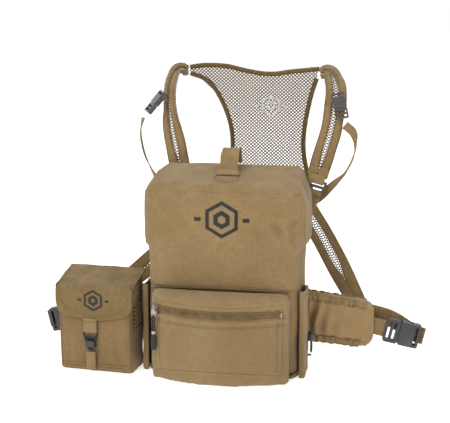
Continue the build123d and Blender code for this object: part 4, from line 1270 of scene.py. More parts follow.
    def front_panel(self, cover: Surface) -> bpy.types.Object:
        """Makes the front cloth that runs from the pocket up over the lid.

        Args:
            cover: The lid's surface.

        Returns:
            The cloth.
        """
        walls = Surface(bpy.data.objects["bucket_cloth"])
        turn = np.radians(np.linspace(-90, -24, 15))
        starts, headings = [], []
        for x in np.linspace(-64, 64, 72):
            starts.append((x, -82.0))
            headings.append((0.0, 1.0))
        for sign in (-1, 1):
            corner = [((sign * (64 + 70 * math.cos(a)), -12 + 70 * math.sin(a)),
                       (-sign * math.cos(a), -math.sin(a))) for a in turn[1:]]
            if sign < 0:
                starts = [c[0] for c in corner[::-1]] + starts
                headings = [c[1] for c in corner[::-1]] + headings
            else:
                starts += [c[0] for c in corner]
                headings += [c[1] for c in corner]
        rows = np.linspace(self.panel_low, self.panel_top, 62)
        grid = np.zeros((len(rows), len(starts), 3))
        outward = np.zeros_like(grid)
        for k, (start, heading) in enumerate(zip(starts, headings)):
            down = Vector((*heading, 0.0)).normalized()
            for i, z in enumerate(rows):
                hits = [t.tree.ray_cast(Vector((*start, z)), down, 120)[0] for t in (cover, walls)]
                hits = [h for h in hits if h is not None]
                held = min(hits, key=lambda h: (h - Vector((*start, z))).length)
                grid[i, k] = np.array(held)
                outward[i, k] = -np.array(down)
        level = grid.copy()
        for _ in range(14):
            level[1:-1] = (level[:-2] + 2 * level[1:-1] + level[2:]) / 4
        share = np.exp(-(((rows - 149.5) / 7) ** 2))[:, None, None]
        grid = grid * (1 - share) + level * share
        swell = sway(grid.reshape(-1, 3), 71, 48, 0.5).reshape(grid.shape[:2])
        top = grid + outward * (1.0 + 0.6 * np.abs(swell))[:, :, None]
        cloth = slab("front_cloth", top, grid - outward * 0.2)
        points = vertex_array(cloth)
        dip = Fold(((-84, -30, 149), (0, -39, 148), (84, -30, 149)), (0, 1, 0), -0.35, 5.0)
        points = points + dip.push(points)
        for ridge in self.ridges:
            points = points + ridge.push(points)
        set_vertices(cloth, points)
        cloth = dress(finer(cloth), LID_CLOTH)
        bend(cloth, ("pack", "hood"))
        line = np.linspace((-66, -70, 107.5), (66, -70, 107.5), 60)
        hem = seam("front_hem_stitches", Surface(cloth).drop(line, (0, 1, 0), 0.1))
        place(hem, "pack")
        return cloth


@dataclass
class Bucket:
    """The bay's walls, base and padded back, with the side pockets."""

    channels: tuple[float, ...] = (-52.0, -26.0, 0.0, 26.0, 52.0)

    def build(self) -> None:
        """Makes every piece of the bay."""
        self.walls()
        self.base()
        self.back()
        for side in Side:
            self.side_pocket(side)
        for node, finish in (("base_stiffener", STIFFENER), ("back_foam", FOAM),
                             ("rim_magnets", MAGNET), ("hood_magnets", MAGNET)):
            dress_node(node, finish, 0.0)

    def walls(self) -> None:
        """Makes the walls, with side folds and stitched side seams."""
        made = soft_copy("bucket_cloth", "bucket_walls", 1.8, 5)
        points = vertex_array(made)
        heading = unit((points - [0, 2, 80]) * [1, 1, 0])
        points = points + heading * sway(points, 11, 55, 0.5)[:, None]
        for fold in (Fold(((-86, -10, 140), (-87, -8, 120), (-87, -14, 104)), (-1, 0, 0), 1.2, 3, (0, 1, 0)),
                     Fold(((86, -10, 140), (87, -8, 120), (87, -14, 104)), (1, 0, 0), 1.2, 3, (0, 1, 0)),
                     Fold(((87, 20, 120), (87, 22, 80), (87, 18, 30)), (1, 0, 0), 1.0, 3, (0, 1, 0)),
                     Fold(((-87, 20, 120), (-87, 22, 80), (-87, 18, 30)), (-1, 0, 0), 1.0, 3, (0, 1, 0))):
            points = points + fold.push(points)
        set_vertices(made, points)
        dress(made, BODY_CLOTH)
        place(made, "pack", ["bucket_walls"])
        surface = Surface(made)
        rows = []
        for sign in (-1, 1):
            for y in (-33.0, 36.0):
                line = np.stack([np.full(60, sign * 100.0), np.full(60, y), np.linspace(10, 144, 60)], axis=1)
                rows.append(seam("wall_seam", surface.drop(line, (-sign, 0, 0), 0.1)))
        place(joined("bucket_stitches", rows), "pack")

    def base(self) -> None:
        """Makes the base panel and the bound edge round it."""
        made = soft_copy("base_cloth", "base_panel", 1.4, 4)
        points = vertex_array(made)
        points[:, 2] += sway(points, 17, 60, 0.3) * (points[:, 2] > 1.5)
        set_vertices(made, points)
        place(dress(made, BODY_CLOTH), "pack", ["base_panel"])
        low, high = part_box("base_panel")
        x, y = high.x / MM - 0.6, (low.y / MM + 0.6, high.y / MM - 0.6)
        right = ((x - 20, y[0]), (x - 5, y[0] + 7), (x, y[0] + 22), (x, y[1] - 6), (x - 6, y[1]))
        corners = [(20 - x, y[0], 6)] + [(a, b, 6) for a, b in right] + [(-a, b, 6) for a, b in right[:0:-1]]
        piping = tube("base_piping", curve_through(corners, 8, True), 1.3, 8, True)
        place(dress(piping, BINDING), "pack")

    def back(self) -> None:
        """Makes the padded back with its sewn channels."""
        made = soft_copy("back_pad", "back_panel", 2.6, 3)
        made = inflate(made, 2.5)
        points = vertex_array(made)
        rear = smoothstep((points[:, 1] - 46) / 3)
        low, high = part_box("back_panel")
        inset = np.minimum(points[:, 0] - low.x / MM, high.x / MM - points[:, 0])
        border = smoothstep(inset / 9)
        for x in self.channels:
            groove = np.exp(-(((points[:, 0] - x) / 2.2) ** 2)) * smoothstep((205 - points[:, 2]) / 8)
            groove = groove * smoothstep((points[:, 2] - 14) / 8)
            points[:, 1] -= 2.0 * groove * rear
        crown = 1.6 * np.abs(np.cos(points[:, 0] * math.pi / 26)) * border
        points[:, 1] += crown * rear * 0.8
        groove = np.exp(-(((inset - 5.5) / 1.4) ** 2)) * rear
        points[:, 1] -= 1.2 * groove
        set_vertices(made, points)
        place(dress(finer(made), BODY_CLOTH), "pack", ["back_panel"])
        surface = Surface(made)
        rows = []
        for x in self.channels:
            line = np.stack([np.full(70, x), np.full(70, 60.0), np.linspace(18, 200, 70)], axis=1)
            rows.append(seam("channel", surface.drop(line, (0, -1, 0), 0.1)))
        place(joined("back_stitches", rows), "pack")

    def side_pocket(self, side: Side) -> None:
        """Makes one side pocket with a row of stitches at its mouth."""
        node = f"side_pocket_{side.word}"
        made = soft_copy(f"side_pocket_cloth_{side.word}", node, 1.3, 4)
        points = vertex_array(made)
        low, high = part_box(node)
        rise = (points[:, 2] - low.z / MM) / ((high.z - low.z) / MM)
        out = smoothstep((side.value * points[:, 0] - 87) / 4)
        swell = np.sin(np.clip(rise, 0, 1) * math.pi) * np.cos((points[:, 1] + 9) / 17 * math.pi / 2)
        points[:, 0] += side.value * out * (0.9 * swell + sway(points, 23, 26, 0.45))
        set_vertices(made, points)
        place(dress(made, POCKET_CLOTH), "pack", [node])
        surface = Surface(made)
        x = side.value * 110.0
        line = np.stack([np.full(20, x), np.linspace(-24, 6, 20), np.full(20, 97.0)], axis=1)
        rows = [seam("mouth", surface.drop(line, (-side.value, 0, 0), 0.1))]
        place(joined(f"side_pocket_stitches_{side.word}", rows), "pack")


@dataclass
class FrontPocket:
    """The zipped pocket on the front, a pillowed panel over a zip and a lower pouch."""

    arc: float = POCKET_ARC
    centre_y: float = POCKET_CENTRE_Y
    zip_z: float = 81.0

    def build(self) -> None:
        """Makes the pocket, its seams and its zip."""
        made = soft_copy("pocket_cover", "front_pocket", 2.0, 3)
        made = inflate(made, 1.6)
        points = vertex_array(made)
        rel = points - [0, self.centre_y, 0]
        radius = np.hypot(rel[:, 0], rel[:, 1])
        out = unit(rel * [1, 1, 0])
        face = smoothstep((radius - self.arc + 7) / 5)
        face = face * smoothstep((78.5 - np.abs(points[:, 0])) / 6)
        z = points[:, 2] - 2.5 * (points[:, 0] / 74) ** 2
        ends = 1 - smoothstep((np.abs(points[:, 0]) - 55) / 18)
        move = 2.6 * np.exp(-(((z - 96.0) / 4.5) ** 2)) * (0.45 + 0.55 * ends)
        move += -1.6 * np.exp(-(((z - 90.0) / 1.5) ** 2))
        move += 1.6 * np.exp(-(((z - 72.5) / 1.8) ** 2)) - 2.0 * np.exp(-(((z - 69.2) / 1.5) ** 2))
        move += 2.2 * np.sin(np.clip(z / 69, 0, 1) * math.pi) ** 0.8
        move += 0.8 * sway(points, 29, 42, 0.9) * (1 - np.exp(-(((z - 81) / 9) ** 4)))
        bottom = 13 - 7.0 * (points[:, 0] / 78) ** 2
        move -= 1.3 * np.exp(-(((z - bottom) / 1.6) ** 2))
        for x in (-70.0, 69.0):
            move -= 1.3 * np.exp(-(((points[:, 0] - x) / 1.5) ** 2)) * (z < 92)
        for x in (-52.0, 50.0):
            spot = ((points[:, 0] - x) / 9) ** 2 + ((z - 98) / 3.5) ** 2
            move -= 1.2 * np.exp(-spot)
        recess = smoothstep((z - 75.5) / 1.5) * smoothstep((88 - z) / 1.5)
        level = self.arc - 0.4 - radius
        move = np.where(radius > self.arc - 4, move * (1 - recess) + level * recess, move * (1 - recess))
        points = points + out * (move * face)[:, None]
        set_vertices(made, points)
        made = finer(made)
        place(dress(made, POCKET_CLOTH), "pack", ["front_pocket"])
        self.seams(Surface(made))
        self.zip()

    def seams(self, surface: Surface) -> None:
        """Adds the pocket's stitched lines and its rolled top seam."""
        rows = []
        for z, run in ((90.8, 68), (75.2, 70), (66.8, 70)):
            line = flat_arc(self.arc + 12, run, z)
            line[:, 2] += 2.5 * (line[:, 0] / 74) ** 2
            rows.append(seam("row", surface.drop(line, (0, 1, 0), 0.12), THREAD))
        for x in (-73.5, -66.5, 66.0, 72.0):
            line = np.stack([np.full(50, x), np.full(50, -90.0), np.linspace(16, 88, 50)], axis=1)
            rows.append(seam("side", surface.drop(line, (0, 1, 0), 0.12), SEAM_THREAD))
        line = flat_arc(self.arc + 12, 72, 17)
        line[:, 2] -= 6.5 * (line[:, 0] / 78) ** 2
        rows.append(seam("foot", surface.drop(line, (0, 1, 0), 0.12), SEAM_THREAD))
        place(joined("pocket_stitches", rows), "pack")
        line = np.stack([np.linspace(-77, 77, 90), np.full(90, -39.2), np.full(90, 104.2)], axis=1)
        line[:, 1] -= 0.7 * np.cos(line[:, 0] / 77 * math.pi / 2)
        line[:, 2] -= 1.3 * (line[:, 0] / 77) ** 2
        piping = tube("pocket_top_piping", line, 1.25, 8)
        place(dress(piping, BINDING), "pack")

    def zip(self) -> None:
        """Makes the zip's tape, its coil and what hangs from its slider."""
        line = flat_arc(self.arc + 0.25, 70, self.zip_z, 120)
        across = np.tile([0.0, 0.0, 1.0], (len(line), 1))
        parts = [dress(ribbon("tape", line, across, 9.2, 0.7), TAPE)]
        coil = flat_arc(self.arc + 1.15, 69.4, self.zip_z, 2)
        count = int(69.4 * 2 / 1.35)
        points, faces = [], []
        for i in range(count):
            angle = (i / (count - 1) * 2 - 1) * math.asin(69.4 / self.arc)
            for row, shift in ((0.95, 0.0), (-0.95, 0.5)):
                turn = angle + shift * 1.35 / self.arc
                out = np.array([math.sin(turn), -math.cos(turn), 0.0])
                along = np.array([math.cos(turn), math.sin(turn), 0.0])
                centre = np.array([0, self.centre_y, self.zip_z]) + out * (self.arc + 0.95)
                centre = centre + np.array([0, 0, row])
                base = len(points)
                for dz in (-0.85, 0.85):
                    for a, b, size in ((-0.45, -0.5, 1), (0.45, -0.5, 1), (0.33, 0.6, 1), (-0.33, 0.6, 1)):
                        points.append(centre + along * a * size + out * b + np.array([0, 0, dz]))
                faces += [tuple(base + v for v in face) for face in BLOCK_FACES]
        teeth = oriented(mesh_object("teeth", np.array(points), faces))
        parts.append(dress(teeth, COIL))
        for tip in (coil[0], coil[-1]):
            end = curve_through([tip + [0, 0, -2.6], tip + [0, 0, 2.6]], 6)
            parts.append(dress(tube("stop", end, 0.8, 8), ZIP_METAL))
        made = joined("zip_track", parts)
        place(made, "pack", ["pocket_zip"])
        dress_node("zip_slider", ZIP_METAL, 0.3)
        self.pull()

    def pull(self) -> None:
        """Makes the zip's pull: a wire link, two cords, a pale collar and a ribbed grip."""
        low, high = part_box("zip_pull")
        x, y = (low.x + high.x) / 2 / MM, (low.y + high.y) / 2 / MM
        top, foot = high.z / MM, low.z / MM
        parts = []
        link = [(x - 1.6, y, top - 0.8), (x - 1.9, y, top - 6), (x, y, top - 8),
                (x + 1.9, y, top - 6), (x + 1.6, y, top - 0.8), (x, y, top - 0.2)]
        parts.append(dress(tube("link", curve_through(link, 6, True), 0.55, 8, True), ZIP_METAL))
        grip_top = foot + 20
        for sign in (-1, 1):
            route = [(x + sign * 0.5, y, top - 7.4), (x + sign * 1.3, y - 0.4, top - 12),
                     (x + sign * 0.9, y, (top + grip_top) / 2), (x + sign * 1.0, y, grip_top - 1)]
            parts.append(dress(tube("strand", curve_through(route, 8), 0.85, 8), PULL_CORD))
        collar = np.linspace((x, y, grip_top - 1.2), (x, y, grip_top + 1.8), 7)
        swell = 2.1 + 0.25 * np.sin(np.linspace(0, math.pi, 7))
        parts.append(dress(tube("collar", collar, swell, 16), COLLAR))
        length = np.linspace(grip_top - 1.0, foot, 44)
        share = np.linspace(0, 1, 44)
        ribs = 0.28 * (np.sin(share * 2 * math.pi * 8) > 0) * (share > 0.15) * (share < 0.88)
        ends = np.sqrt(np.clip(1 - ((share - 0.5) / 0.5) ** 12, 0.25, 1))
        half = (2.2 + 0.9 * smoothstep(share * 4)) * ends + ribs
        turn = np.linspace(0, 2 * math.pi, 20, endpoint=False)
        rings = [np.stack([x + h * np.cos(turn), y + 0.56 * h * np.sin(turn), np.full(20, z)], 1)
                 for h, z in zip(half, length)]
        parts.append(dress(sweep("grip", np.array(rings)), RUBBER))
        made = joined("zip_pull_cord", parts)
        place(made, "zip_pull", ["zip_pull"])


@dataclass
class CordLock:
    """The barrel lock and its elastic loop on the right side pocket."""

    exit: tuple[float, float, float] = (98.7, -8.6, 39.5)

    def build(self) -> None:
        """Dresses the lock and makes the loop."""
        for node in ("cord_lock_barrel", "cord_lock_button"):
            dress_node(node, BLACK, 0.4)
        dress_node("cord_lock_spring", SPRING, 0.0)
        route = [self.exit, (98.7, -10.6, 33.5), (98.7, -9.4, 26.0), (98.7, -2.6, 26.0),
                 (98.7, -1.4, 33.5), (98.7, -3.4, 39.5)]
        loop = spline_cord("elastic_loop", route, 1.0)
        dress(loop, BRAID)
        place(loop, "pack", ["side_elastic_loop"])


def spline_cord(name: str, route: Sequence[Point], radius: float) -> bpy.types.Object:
    """Makes a cord as one smooth open curve.

    Args:
        name: The piece's name.
        route: The curve's control points, in millimetres.
        radius: The cord's radius.

    Returns:
        The curve object.
    """
    data = bpy.data.curves.new(name, "CURVE")
    data.dimensions = "3D"
    spline = data.splines.new("NURBS")
    spline.points.add(len(route) - 1)
    for held, point in zip(spline.points, route):
        held.co = (*[v * MM for v in point], 1.0)
    spline.order_u = 3
    spline.use_endpoint_u = True
    spline.resolution_u = 12
    data.bevel_depth = radius * MM
    data.bevel_resolution = 3
    data.use_fill_caps = True
    made = bpy.data.objects.new(name, data)
    bpy.context.scene.collection.objects.link(made)
    return made


@dataclass
class Yoke:
    """The open-mesh back yoke and its four bound edges, in the plane y = 120."""

    plane: float = 120.0
    top: tuple[Point, ...] = (
        (-66, 338), (-46, 340.5), (-20, 339.5), (6, 334), (32, 331), (58, 334.5), (90, 338))
    right: tuple[Point, ...] = ((90, 323), (83, 300), (77, 268), (75.5, 240), (80, 212), (89, 176))
    crotch: tuple[Point, ...] = ((67, 159), (48, 175), (30, 184), (8, 175), (-16, 157))
    left: tuple[Point, ...] = (
        (-34, 179), (-21, 212), (-16.5, 240), (-20, 270), (-33, 301), (-48, 318), (-66, 325))

    def build(self) -> None:
        """Makes the net, the bindings and the pale sign."""
        edges = [curve_through(edge, 10) for edge in (self.top, self.right, self.crotch, self.left)]
        outline = np.concatenate(edges)
        mesh = net("yoke_net", outline, ((1, 0, 0), (0, 0, 1)), 4.4, 4.0, 1.75)
        points = vertex_array(mesh)
        points[:, 1] = points[:, 1] * 0.7 + self.plane + sway(points, 31, 90, 0.5)
        set_vertices(mesh, points)
        place(dress(mesh, NET), "pack", ["yoke_mesh"])
        centre = outline.mean(axis=0)
        for i, edge in enumerate(edges):
            inward = unit(np.stack([-np.gradient(edge[:, 1]), np.gradient(edge[:, 0])], axis=1))
            if np.sum((centre - edge[len(edge) // 2]) * inward[len(edge) // 2]) < 0:
                inward = -inward
            line = edge + inward * 2.75
            line = np.stack([line[:, 0], np.full(len(line), self.plane), line[:, 1]], axis=1)
            across = np.stack([inward[:, 0], np.zeros(len(line)), inward[:, 1]], axis=1)
            band = ribbon(f"yoke_binding_{i}", line, across, 5.6, 4.2)
            place(dress(band, BINDING), "pack", ["yoke_binding"])
            lift = line + across * 1.3 - [0, 2.15, 0]
            place(seam(f"yoke_stitches_{i}", lift, SEAM_THREAD, 3.0, 0.28), "pack")
        sign = PackMark().lay("yoke_sign", None, (33, 118.6, 290), (1, 0, 0), (0, 0, 1), PALE_MARK, 0.62)
        place(sign, "pack")


@dataclass
class ShoulderStrap:
    """One padded strap: two bands of webbing with a stripe of net between them."""

    side: Side
    stations: tuple[tuple[float, ...], ...]
    seed: int = 5

    def build(self) -> None:
        """Makes the strap's bands, stripe and end seam."""
        rows = curve_through(np.array(self.stations, float), 12)
        centres, across, width = rows[:, :3], rows[:, 3:6], rows[:, 6]
        share = np.linspace(0, 1, len(rows))
        gap = 0.25 + 4.9 * smoothstep(share * 5) * smoothstep((1 - share) * 5)
        band = (width - gap) / 2
        word = self.side.word
        parts = []
        for sign in (-1, 1):
            strip = ribbon(f"band{sign}", centres, across, band, 4.4, sign * (band + gap) / 2)
            points = vertex_array(strip)
            points += sway(points, self.seed + sign, 30, 0.35)[:, None] * normal_array(strip)
            set_vertices(strip, points)
            parts.append(dress(strip, WEBBING))
        made = joined(f"shoulder_bands_{word}", parts)
        place(made, "pack", [f"shoulder_strap_{word}"])
        stripe = ladder_net(f"shoulder_net_{word}", centres, across, gap + 1.0)
        place(dress(stripe, NET), "pack")
        side, face = band_axes(centres, across)
        rows_of = []
        for sign in (-1, 1):
            for shift in (sign * (gap / 2 + 1.0), sign * (width / 2 - 1.1)):
                for front in (-1, 1):
                    line = centres + side * shift[:, None] + face * front * 2.3
                    rows_of.append(seam("edge", line[6:-6], SEAM_THREAD, 3.0, 0.25))
        for front in (-1, 1):
            reach = side[-8] * 11
            ends = np.linspace(centres[-8] - reach, centres[-8] + reach, 14) + face[-8] * front * 2.35
            rows_of.append(seam("end", ends, SEAM_THREAD, 2.0, 0.3))
        place(joined(f"shoulder_stitches_{word}", rows_of), "pack")


def ladder_net(name: str, centres: np.ndarray, across: np.ndarray, width: np.ndarray) -> bpy.types.Object:
    """Makes a narrow net stripe of two rails and slanting rungs.

    Args:
        name: The piece's name.
        centres: Its line.
        across: Directions across it.
        width: Its width at each point.

    Returns:
        The net.
    """
    side = band_axes(centres, across)[0]
    along = run_length(centres)
    count = int(along[-1] / 3.4)
    parts = []
    for i in range(count):
        for lean in (-1, 1):
            marks = (i + np.array([0.5 - 0.5 * lean, 0.5, 0.5 + 0.5 * lean])) * along[-1] / count
            place_at = np.stack([np.interp(marks, along, centres[:, k]) for k in range(3)], axis=1)
            beside = np.stack([np.interp(marks, along, side[:, k]) for k in range(3)], axis=1)
            wide = np.interp(marks, along, width)
            line = place_at + beside * (wide * np.array([-0.5, 0, 0.5]))[:, None]
            parts.append(tube("rung", line, 0.62, 5))
    return joined(name, parts)


@dataclass
class WebbingRun:
    """A plain strap between two places, with the pieces and bodies it belongs to."""

    name: str
    stations: tuple[tuple[float, ...], ...]
    width: float
    thickness: float
    node: str
    bodies: tuple[str, str] | None = None
    start: Point = (0, 0, 0)
    end: Point = (0, 0, 0)
    wave: float = 0.3

    def build(self) -> None:
        """Makes the strap."""
        rows = curve_through(np.array(self.stations, float), 12)
        centres, across = rows[:, :3], rows[:, 3:6]
        strap = ribbon(self.name, centres, across, self.width, self.thickness)
        points = vertex_array(strap)
        face = band_axes(centres, across)[1]
        ring = len(points) // len(rows)
        shift = sway(centres, len(self.name), 22, self.wave) * np.sin(np.linspace(0, math.pi, len(rows)))
        points += np.repeat(shift[:, None] * face, ring, axis=0)
        set_vertices(strap, points)
        dress(strap, WEBBING)
        if self.bodies:
            bend(strap, self.bodies, [self.node])
        else:
            place(strap, "pack", [self.node])


@dataclass
class LowerArm:
    """One lower arm: banded net that narrows to plain webbing at the waist."""

    side: Side
    stations: tuple[tuple[float, ...], ...]

    def build(self) -> None:
        """Makes the arm's bands, net and seam."""
        rows = curve_through(np.array(self.stations, float), 12)
        centres, across, width = rows[:, :3], rows[:, 3:6], rows[:, 6]
        share = np.linspace(0, 1, len(rows))
        gap = -0.6 + 8.3 * (1 - smoothstep((share - 0.45) / 0.2))
        band = (width - gap) / 2
        word = self.side.word
        parts = [dress(ribbon(f"arm{s}", centres, across, band, 3.0, s * (band + gap) / 2), WEBBING)
                 for s in (-1, 1)]
        made = joined(f"arm_bands_{word}", parts)
        place(made, "pack", [f"lower_arm_{word}"])
        cut = int(len(rows) * 0.62)
        mesh = ladder_net(f"arm_net_{word}", centres[:cut], across[:cut], np.maximum(gap[:cut], 0) + 1)
        place(dress(mesh, NET), "pack")
        side, face = band_axes(centres, across)
        rows_of = []
        for front in (-1, 1):
            for sign in (-1, 1):
                line = centres + side * (sign * (width / 2 - 1.3))[:, None] + face * front * 1.6
                rows_of.append(seam("edge", line[4:-4], SEAM_THREAD, 3.0, 0.25))
            mark = int(len(rows) * 0.64)
            ends = np.linspace(centres[mark] - side[mark] * 12, centres[mark + 3] + side[mark] * 12, 16)
            rows_of.append(seam("end", ends + face[mark] * front * 1.6, SEAM_THREAD, 2.0, 0.3))
        place(joined(f"arm_stitches_{word}", rows_of), "pack")


@dataclass
class WaistWing:
    """One padded waist wing with gathered, bound edges."""

    side: Side
    seed: int = 41

    def build(self) -> None:
        """Makes the wing's pad, edge webbing and stitches."""
        word = self.side.word
        node = f"wing_{word}"
        low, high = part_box(node)
        sign = self.side.value
        inner = (low.x if sign > 0 else high.x) / MM
        span = (high.x - low.x) / MM
        made = inflate(soft_copy(f"wing_pad_{word}", node, 2.2, 4), 3.0)
        made = finer(made)
        points = vertex_array(made)
        share = np.clip(sign * (points[:, 0] - inner) / span, 0, 1)
        top, foot = 91 - 13 * share, 34 - 10 * share
        level = (points[:, 2] - foot) / (top - foot)
        middle = np.clip(1 - (2 * level - 1) ** 4, 0, 1)
        facing = normal_array(made)
        deep = 0.7 + 2.4 * np.exp(-(((share - 0.2) / 0.16) ** 2))
        fold = deep * np.sin(share * 36 + 1.5 * np.sin(level * 5)) * middle
        fold += (0.9 + 1.2 * sway(points, self.seed, 17, 0.6)) * middle
        groove = np.exp(-(((level - 0.87) / 0.035) ** 2)) + np.exp(-(((level - 0.13) / 0.035) ** 2))
        gather = 0.5 * np.sin(share * 95) * (1 - middle)
        move = (fold - 1.7 * groove + gather) * (np.abs(facing[:, 1]) > 0.35)
        points += facing * move[:, None] * (smoothstep(share * 9) * smoothstep((1 - share) * 9))[:, None]
        set_vertices(made, points)
        place(dress(made, WING_CLOTH), "pack", [node])
        self.edges(made, inner, span)

    def edges(self, made: bpy.types.Object, inner: float, span: float) -> None:
        """Adds the wavy webbing on both edges, and its stitches."""
        surface, sign, word = Surface(made), self.side.value, self.side.word
        parts, rows = [], []
        for level, tag in ((0.935, 1), (0.065, -1)):
            share = np.linspace(0.02, 0.88 if tag > 0 else 0.8, 80)
            x = inner + sign * share * span
            z = (34 - 10 * share) + (57 - 3 * share) * level
            z += 0.5 * np.sin(share * 60)
            for front in (-1, 1):
                line = np.stack([x, np.full(80, 22.0 + front * 30), z], axis=1)
                held = surface.nearest(surface.drop(line, (0, -front, 0)), 0.6)
                across = np.tile([0.0, 0.0, 1.0], (80, 1))
                band = ribbon("edge", held, across, 8.0 + 0.6 * np.sin(share * 48), 1.8)
                points = vertex_array(band)
                points[:, 1] += front * 0.5 * np.sin(points[:, 0] * 0.9)
                set_vertices(band, points)
                parts.append(dress(band, WEBBING))
                for shift in (-2.4, 2.4):
                    rows.append(seam("edge_row", held + [0, front * 0.75, shift], SEAM_THREAD, 3.0, 0.25))
        made = joined(f"wing_edging_{word}", parts)
        place(made, "pack")
        place(joined(f"wing_stitches_{word}", rows), "pack")


@dataclass
class Pouch:
    """The small lidded pouch on the left, in its own turned frame."""

    origin: tuple[float, float] = (-143.2, -18.1)
    yaw: float = math.radians(-6.0)

    def at(self, points: np.ndarray) -> np.ndarray:
        """Turns the pouch's own coordinates into the pack's."""
        rows = np.atleast_2d(np.asarray(points, float))
        c, s = math.cos(self.yaw), math.sin(self.yaw)
        return np.stack([self.origin[0] + rows[:, 0] * c - rows[:, 1] * s,
                         self.origin[1] + rows[:, 0] * s + rows[:, 1] * c, rows[:, 2]], axis=1)

    def heading(self, vector: Point) -> np.ndarray:
        """Turns one of the pouch's directions into the pack's."""
        return self.at(np.array([vector]))[0] - self.at(np.array([(0, 0, 0)]))[0]

    def build(self) -> None:
        """Makes every piece of the pouch."""
        self.body()
        self.flap()
        self.closure()
        self.lacing()

    def own(self, points: np.ndarray) -> np.ndarray:
        """Turns the pack's coordinates into the pouch's."""
        c, s = math.cos(self.yaw), math.sin(self.yaw)
        x, y = points[:, 0] - self.origin[0], points[:, 1] - self.origin[1]
        return np.stack([x * c + y * s, -x * s + y * c, points[:, 2]], axis=1)

    def body(self) -> None:
        """Makes the pouch's body and its seams."""
        made = soft_copy("pouch_cloth_body", "pouch_body", 1.3, 5)
        points = vertex_array(made)
        own = self.own(points)
        out = unit(own * [1, 1, 0])
        own += out * (sway(points, 53, 30, 0.8) * smoothstep(own[:, 2] / 12))[:, None]
        own[:, 1] -= 1.6 * np.sin(np.clip(own[:, 2] / 96, 0, 1) * math.pi) * (own[:, 1] < -15)
        for fold in (Fold(((-30, -24, 44), (-29, -24, 28), (-33, -24, 8)), (0, -1, 0), 1.2, 2.5, (1, 0, 0)),
                     Fold(((10, -24, 50), (13, -24, 30), (9, -24, 12)), (0, -1, 0), 1.1, 2.5, (-1, 0, 0)),
                     Fold(((28, -24, 50), (25, -24, 32), (30, -24, 10)), (0, -1, 0), 1.2, 2.8, (-1, 0, 0))):
            own = own + fold.push(own)
        set_vertices(made, self.at(own))
        place(dress(made, POUCH_CLOTH), "pack", ["pouch_body"])
        surface = Surface(made)
        parts = []
        for u in (-41.5, 41.5):
            line = self.at(np.stack([np.full(40, u), np.full(40, -40.0), np.linspace(4, 90, 40)], axis=1))
            held = surface.drop(line, self.heading((0, 1, 0)), 0.3)
            parts.append(dress(tube("piping", held, 1.2, 8), FLAP_CLOTH))
        edge = joined("pouch_piping", parts)
        place(edge, "pack")
        rows = []
        for z in (5.5, 9.0):
            line = self.at(np.stack([np.linspace(-38, 38, 40), np.full(40, -40.0), np.full(40, z)], axis=1))
            rows.append(seam("row", surface.drop(line, self.heading((0, 1, 0)), 0.15), SEAM_THREAD))
        place(joined("pouch_stitches", rows), "pack")

    def flap(self) -> None:
        """Makes the lid flap with its rolled edge, threads and sign."""
        made = soft_copy("pouch_flap_cloth", "pouch_flap", 0.95, 6)
        points = vertex_array(made)
        own = self.own(points)
        front = own[:, 1] < -22
        own[:, 1] -= front * (0.8 + 0.7 * sway(points, 59, 34, 0.7))
        own[:, 2] += (~front) * 0.6 * sway(points, 61, 30, 0.8)
        set_vertices(made, self.at(own))
        place(dress(made, FLAP_CLOTH), "pouch_flap", ["pouch_flap"])
        surface = Surface(made)
        side = ((45, 108), (45.2, 95), (44.6, 84), (36, 72), (20, 64.5))
        edge = [(-x, -24, z) for x, z in side] + [(0, -24, 62.6)] + [(x, -24, z) for x, z in side[::-1]]
        edge = curve_through(edge, 8)
        held = surface.nearest(self.at(edge), 0.4)
        place(dress(tube("flap_piping", held, 1.35, 8), BINDING), "pouch_flap")
        inner = edge * [0.93, 1, 1] + [0, -10, 4.2]
        rows = seam("flap_stitches", surface.drop(self.at(inner), self.heading((0, 1, 0)), 0.15), THREAD)
        place(rows, "pouch_flap")
        centre = self.at([(0, -60, 85)])[0]
        sign = PackMark().lay("pouch_sign", surface, centre, self.heading((1, 0, 0)), (0, 0, 1),
                              DARK_MARK, 0.6)
        place(sign, "pouch_flap")

    def closure(self) -> None:
        """Makes the tab, the elastic loop, the hook and the pull."""
        tab = finer(soft_copy("flap_tab_cloth", "flap_tab", 0.8, 4))
        place(dress(tab, POCKET_CLOTH), "pouch_flap", ["flap_tab"])
        low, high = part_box("flap_tab")
        front = low.y / MM - 0.2
        line = np.linspace((low.x / MM + 1.5, front, 60), (high.x / MM - 1.5, front, 60), 12)
        line = Surface(tab).drop(line, (0, 1, 0), 0.15)
        place(seam("flap_tab_stitches", line, SEAM_THREAD, 2.2, 0.3), "pouch_flap")
        low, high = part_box("closure_cord")
        y = (low.y + high.y) / 2 / MM
        mid = (low.x + high.x) / 2 / MM
        half = (high.x - low.x) / 2 / MM - 1.25
        top, foot = high.z / MM - 0.4, low.z / MM + 1.25
        leg = ((half, top), (half * 0.85, 41), (half * 0.42, 34), (3.3, foot + 1.4), (1.2, foot - 0.7))
        route = [(mid - x, y, z) for x, z in leg] + [(mid + x, y, z) for x, z in leg[::-1]]
        loop = spline_cord("closure_loop", route, 1.2)
        place(dress(loop, BRAID), "pouch_flap", ["closure_cord"])
        dress_node("pouch_hook", BLACK, 0.35)
        pull = finer(soft_copy("closure_pull_strap", "closure_pull_tab", 0.7, 3))
        place(dress(pull, FLAT_WEBBING), "closure_pull", ["closure_pull_tab"])

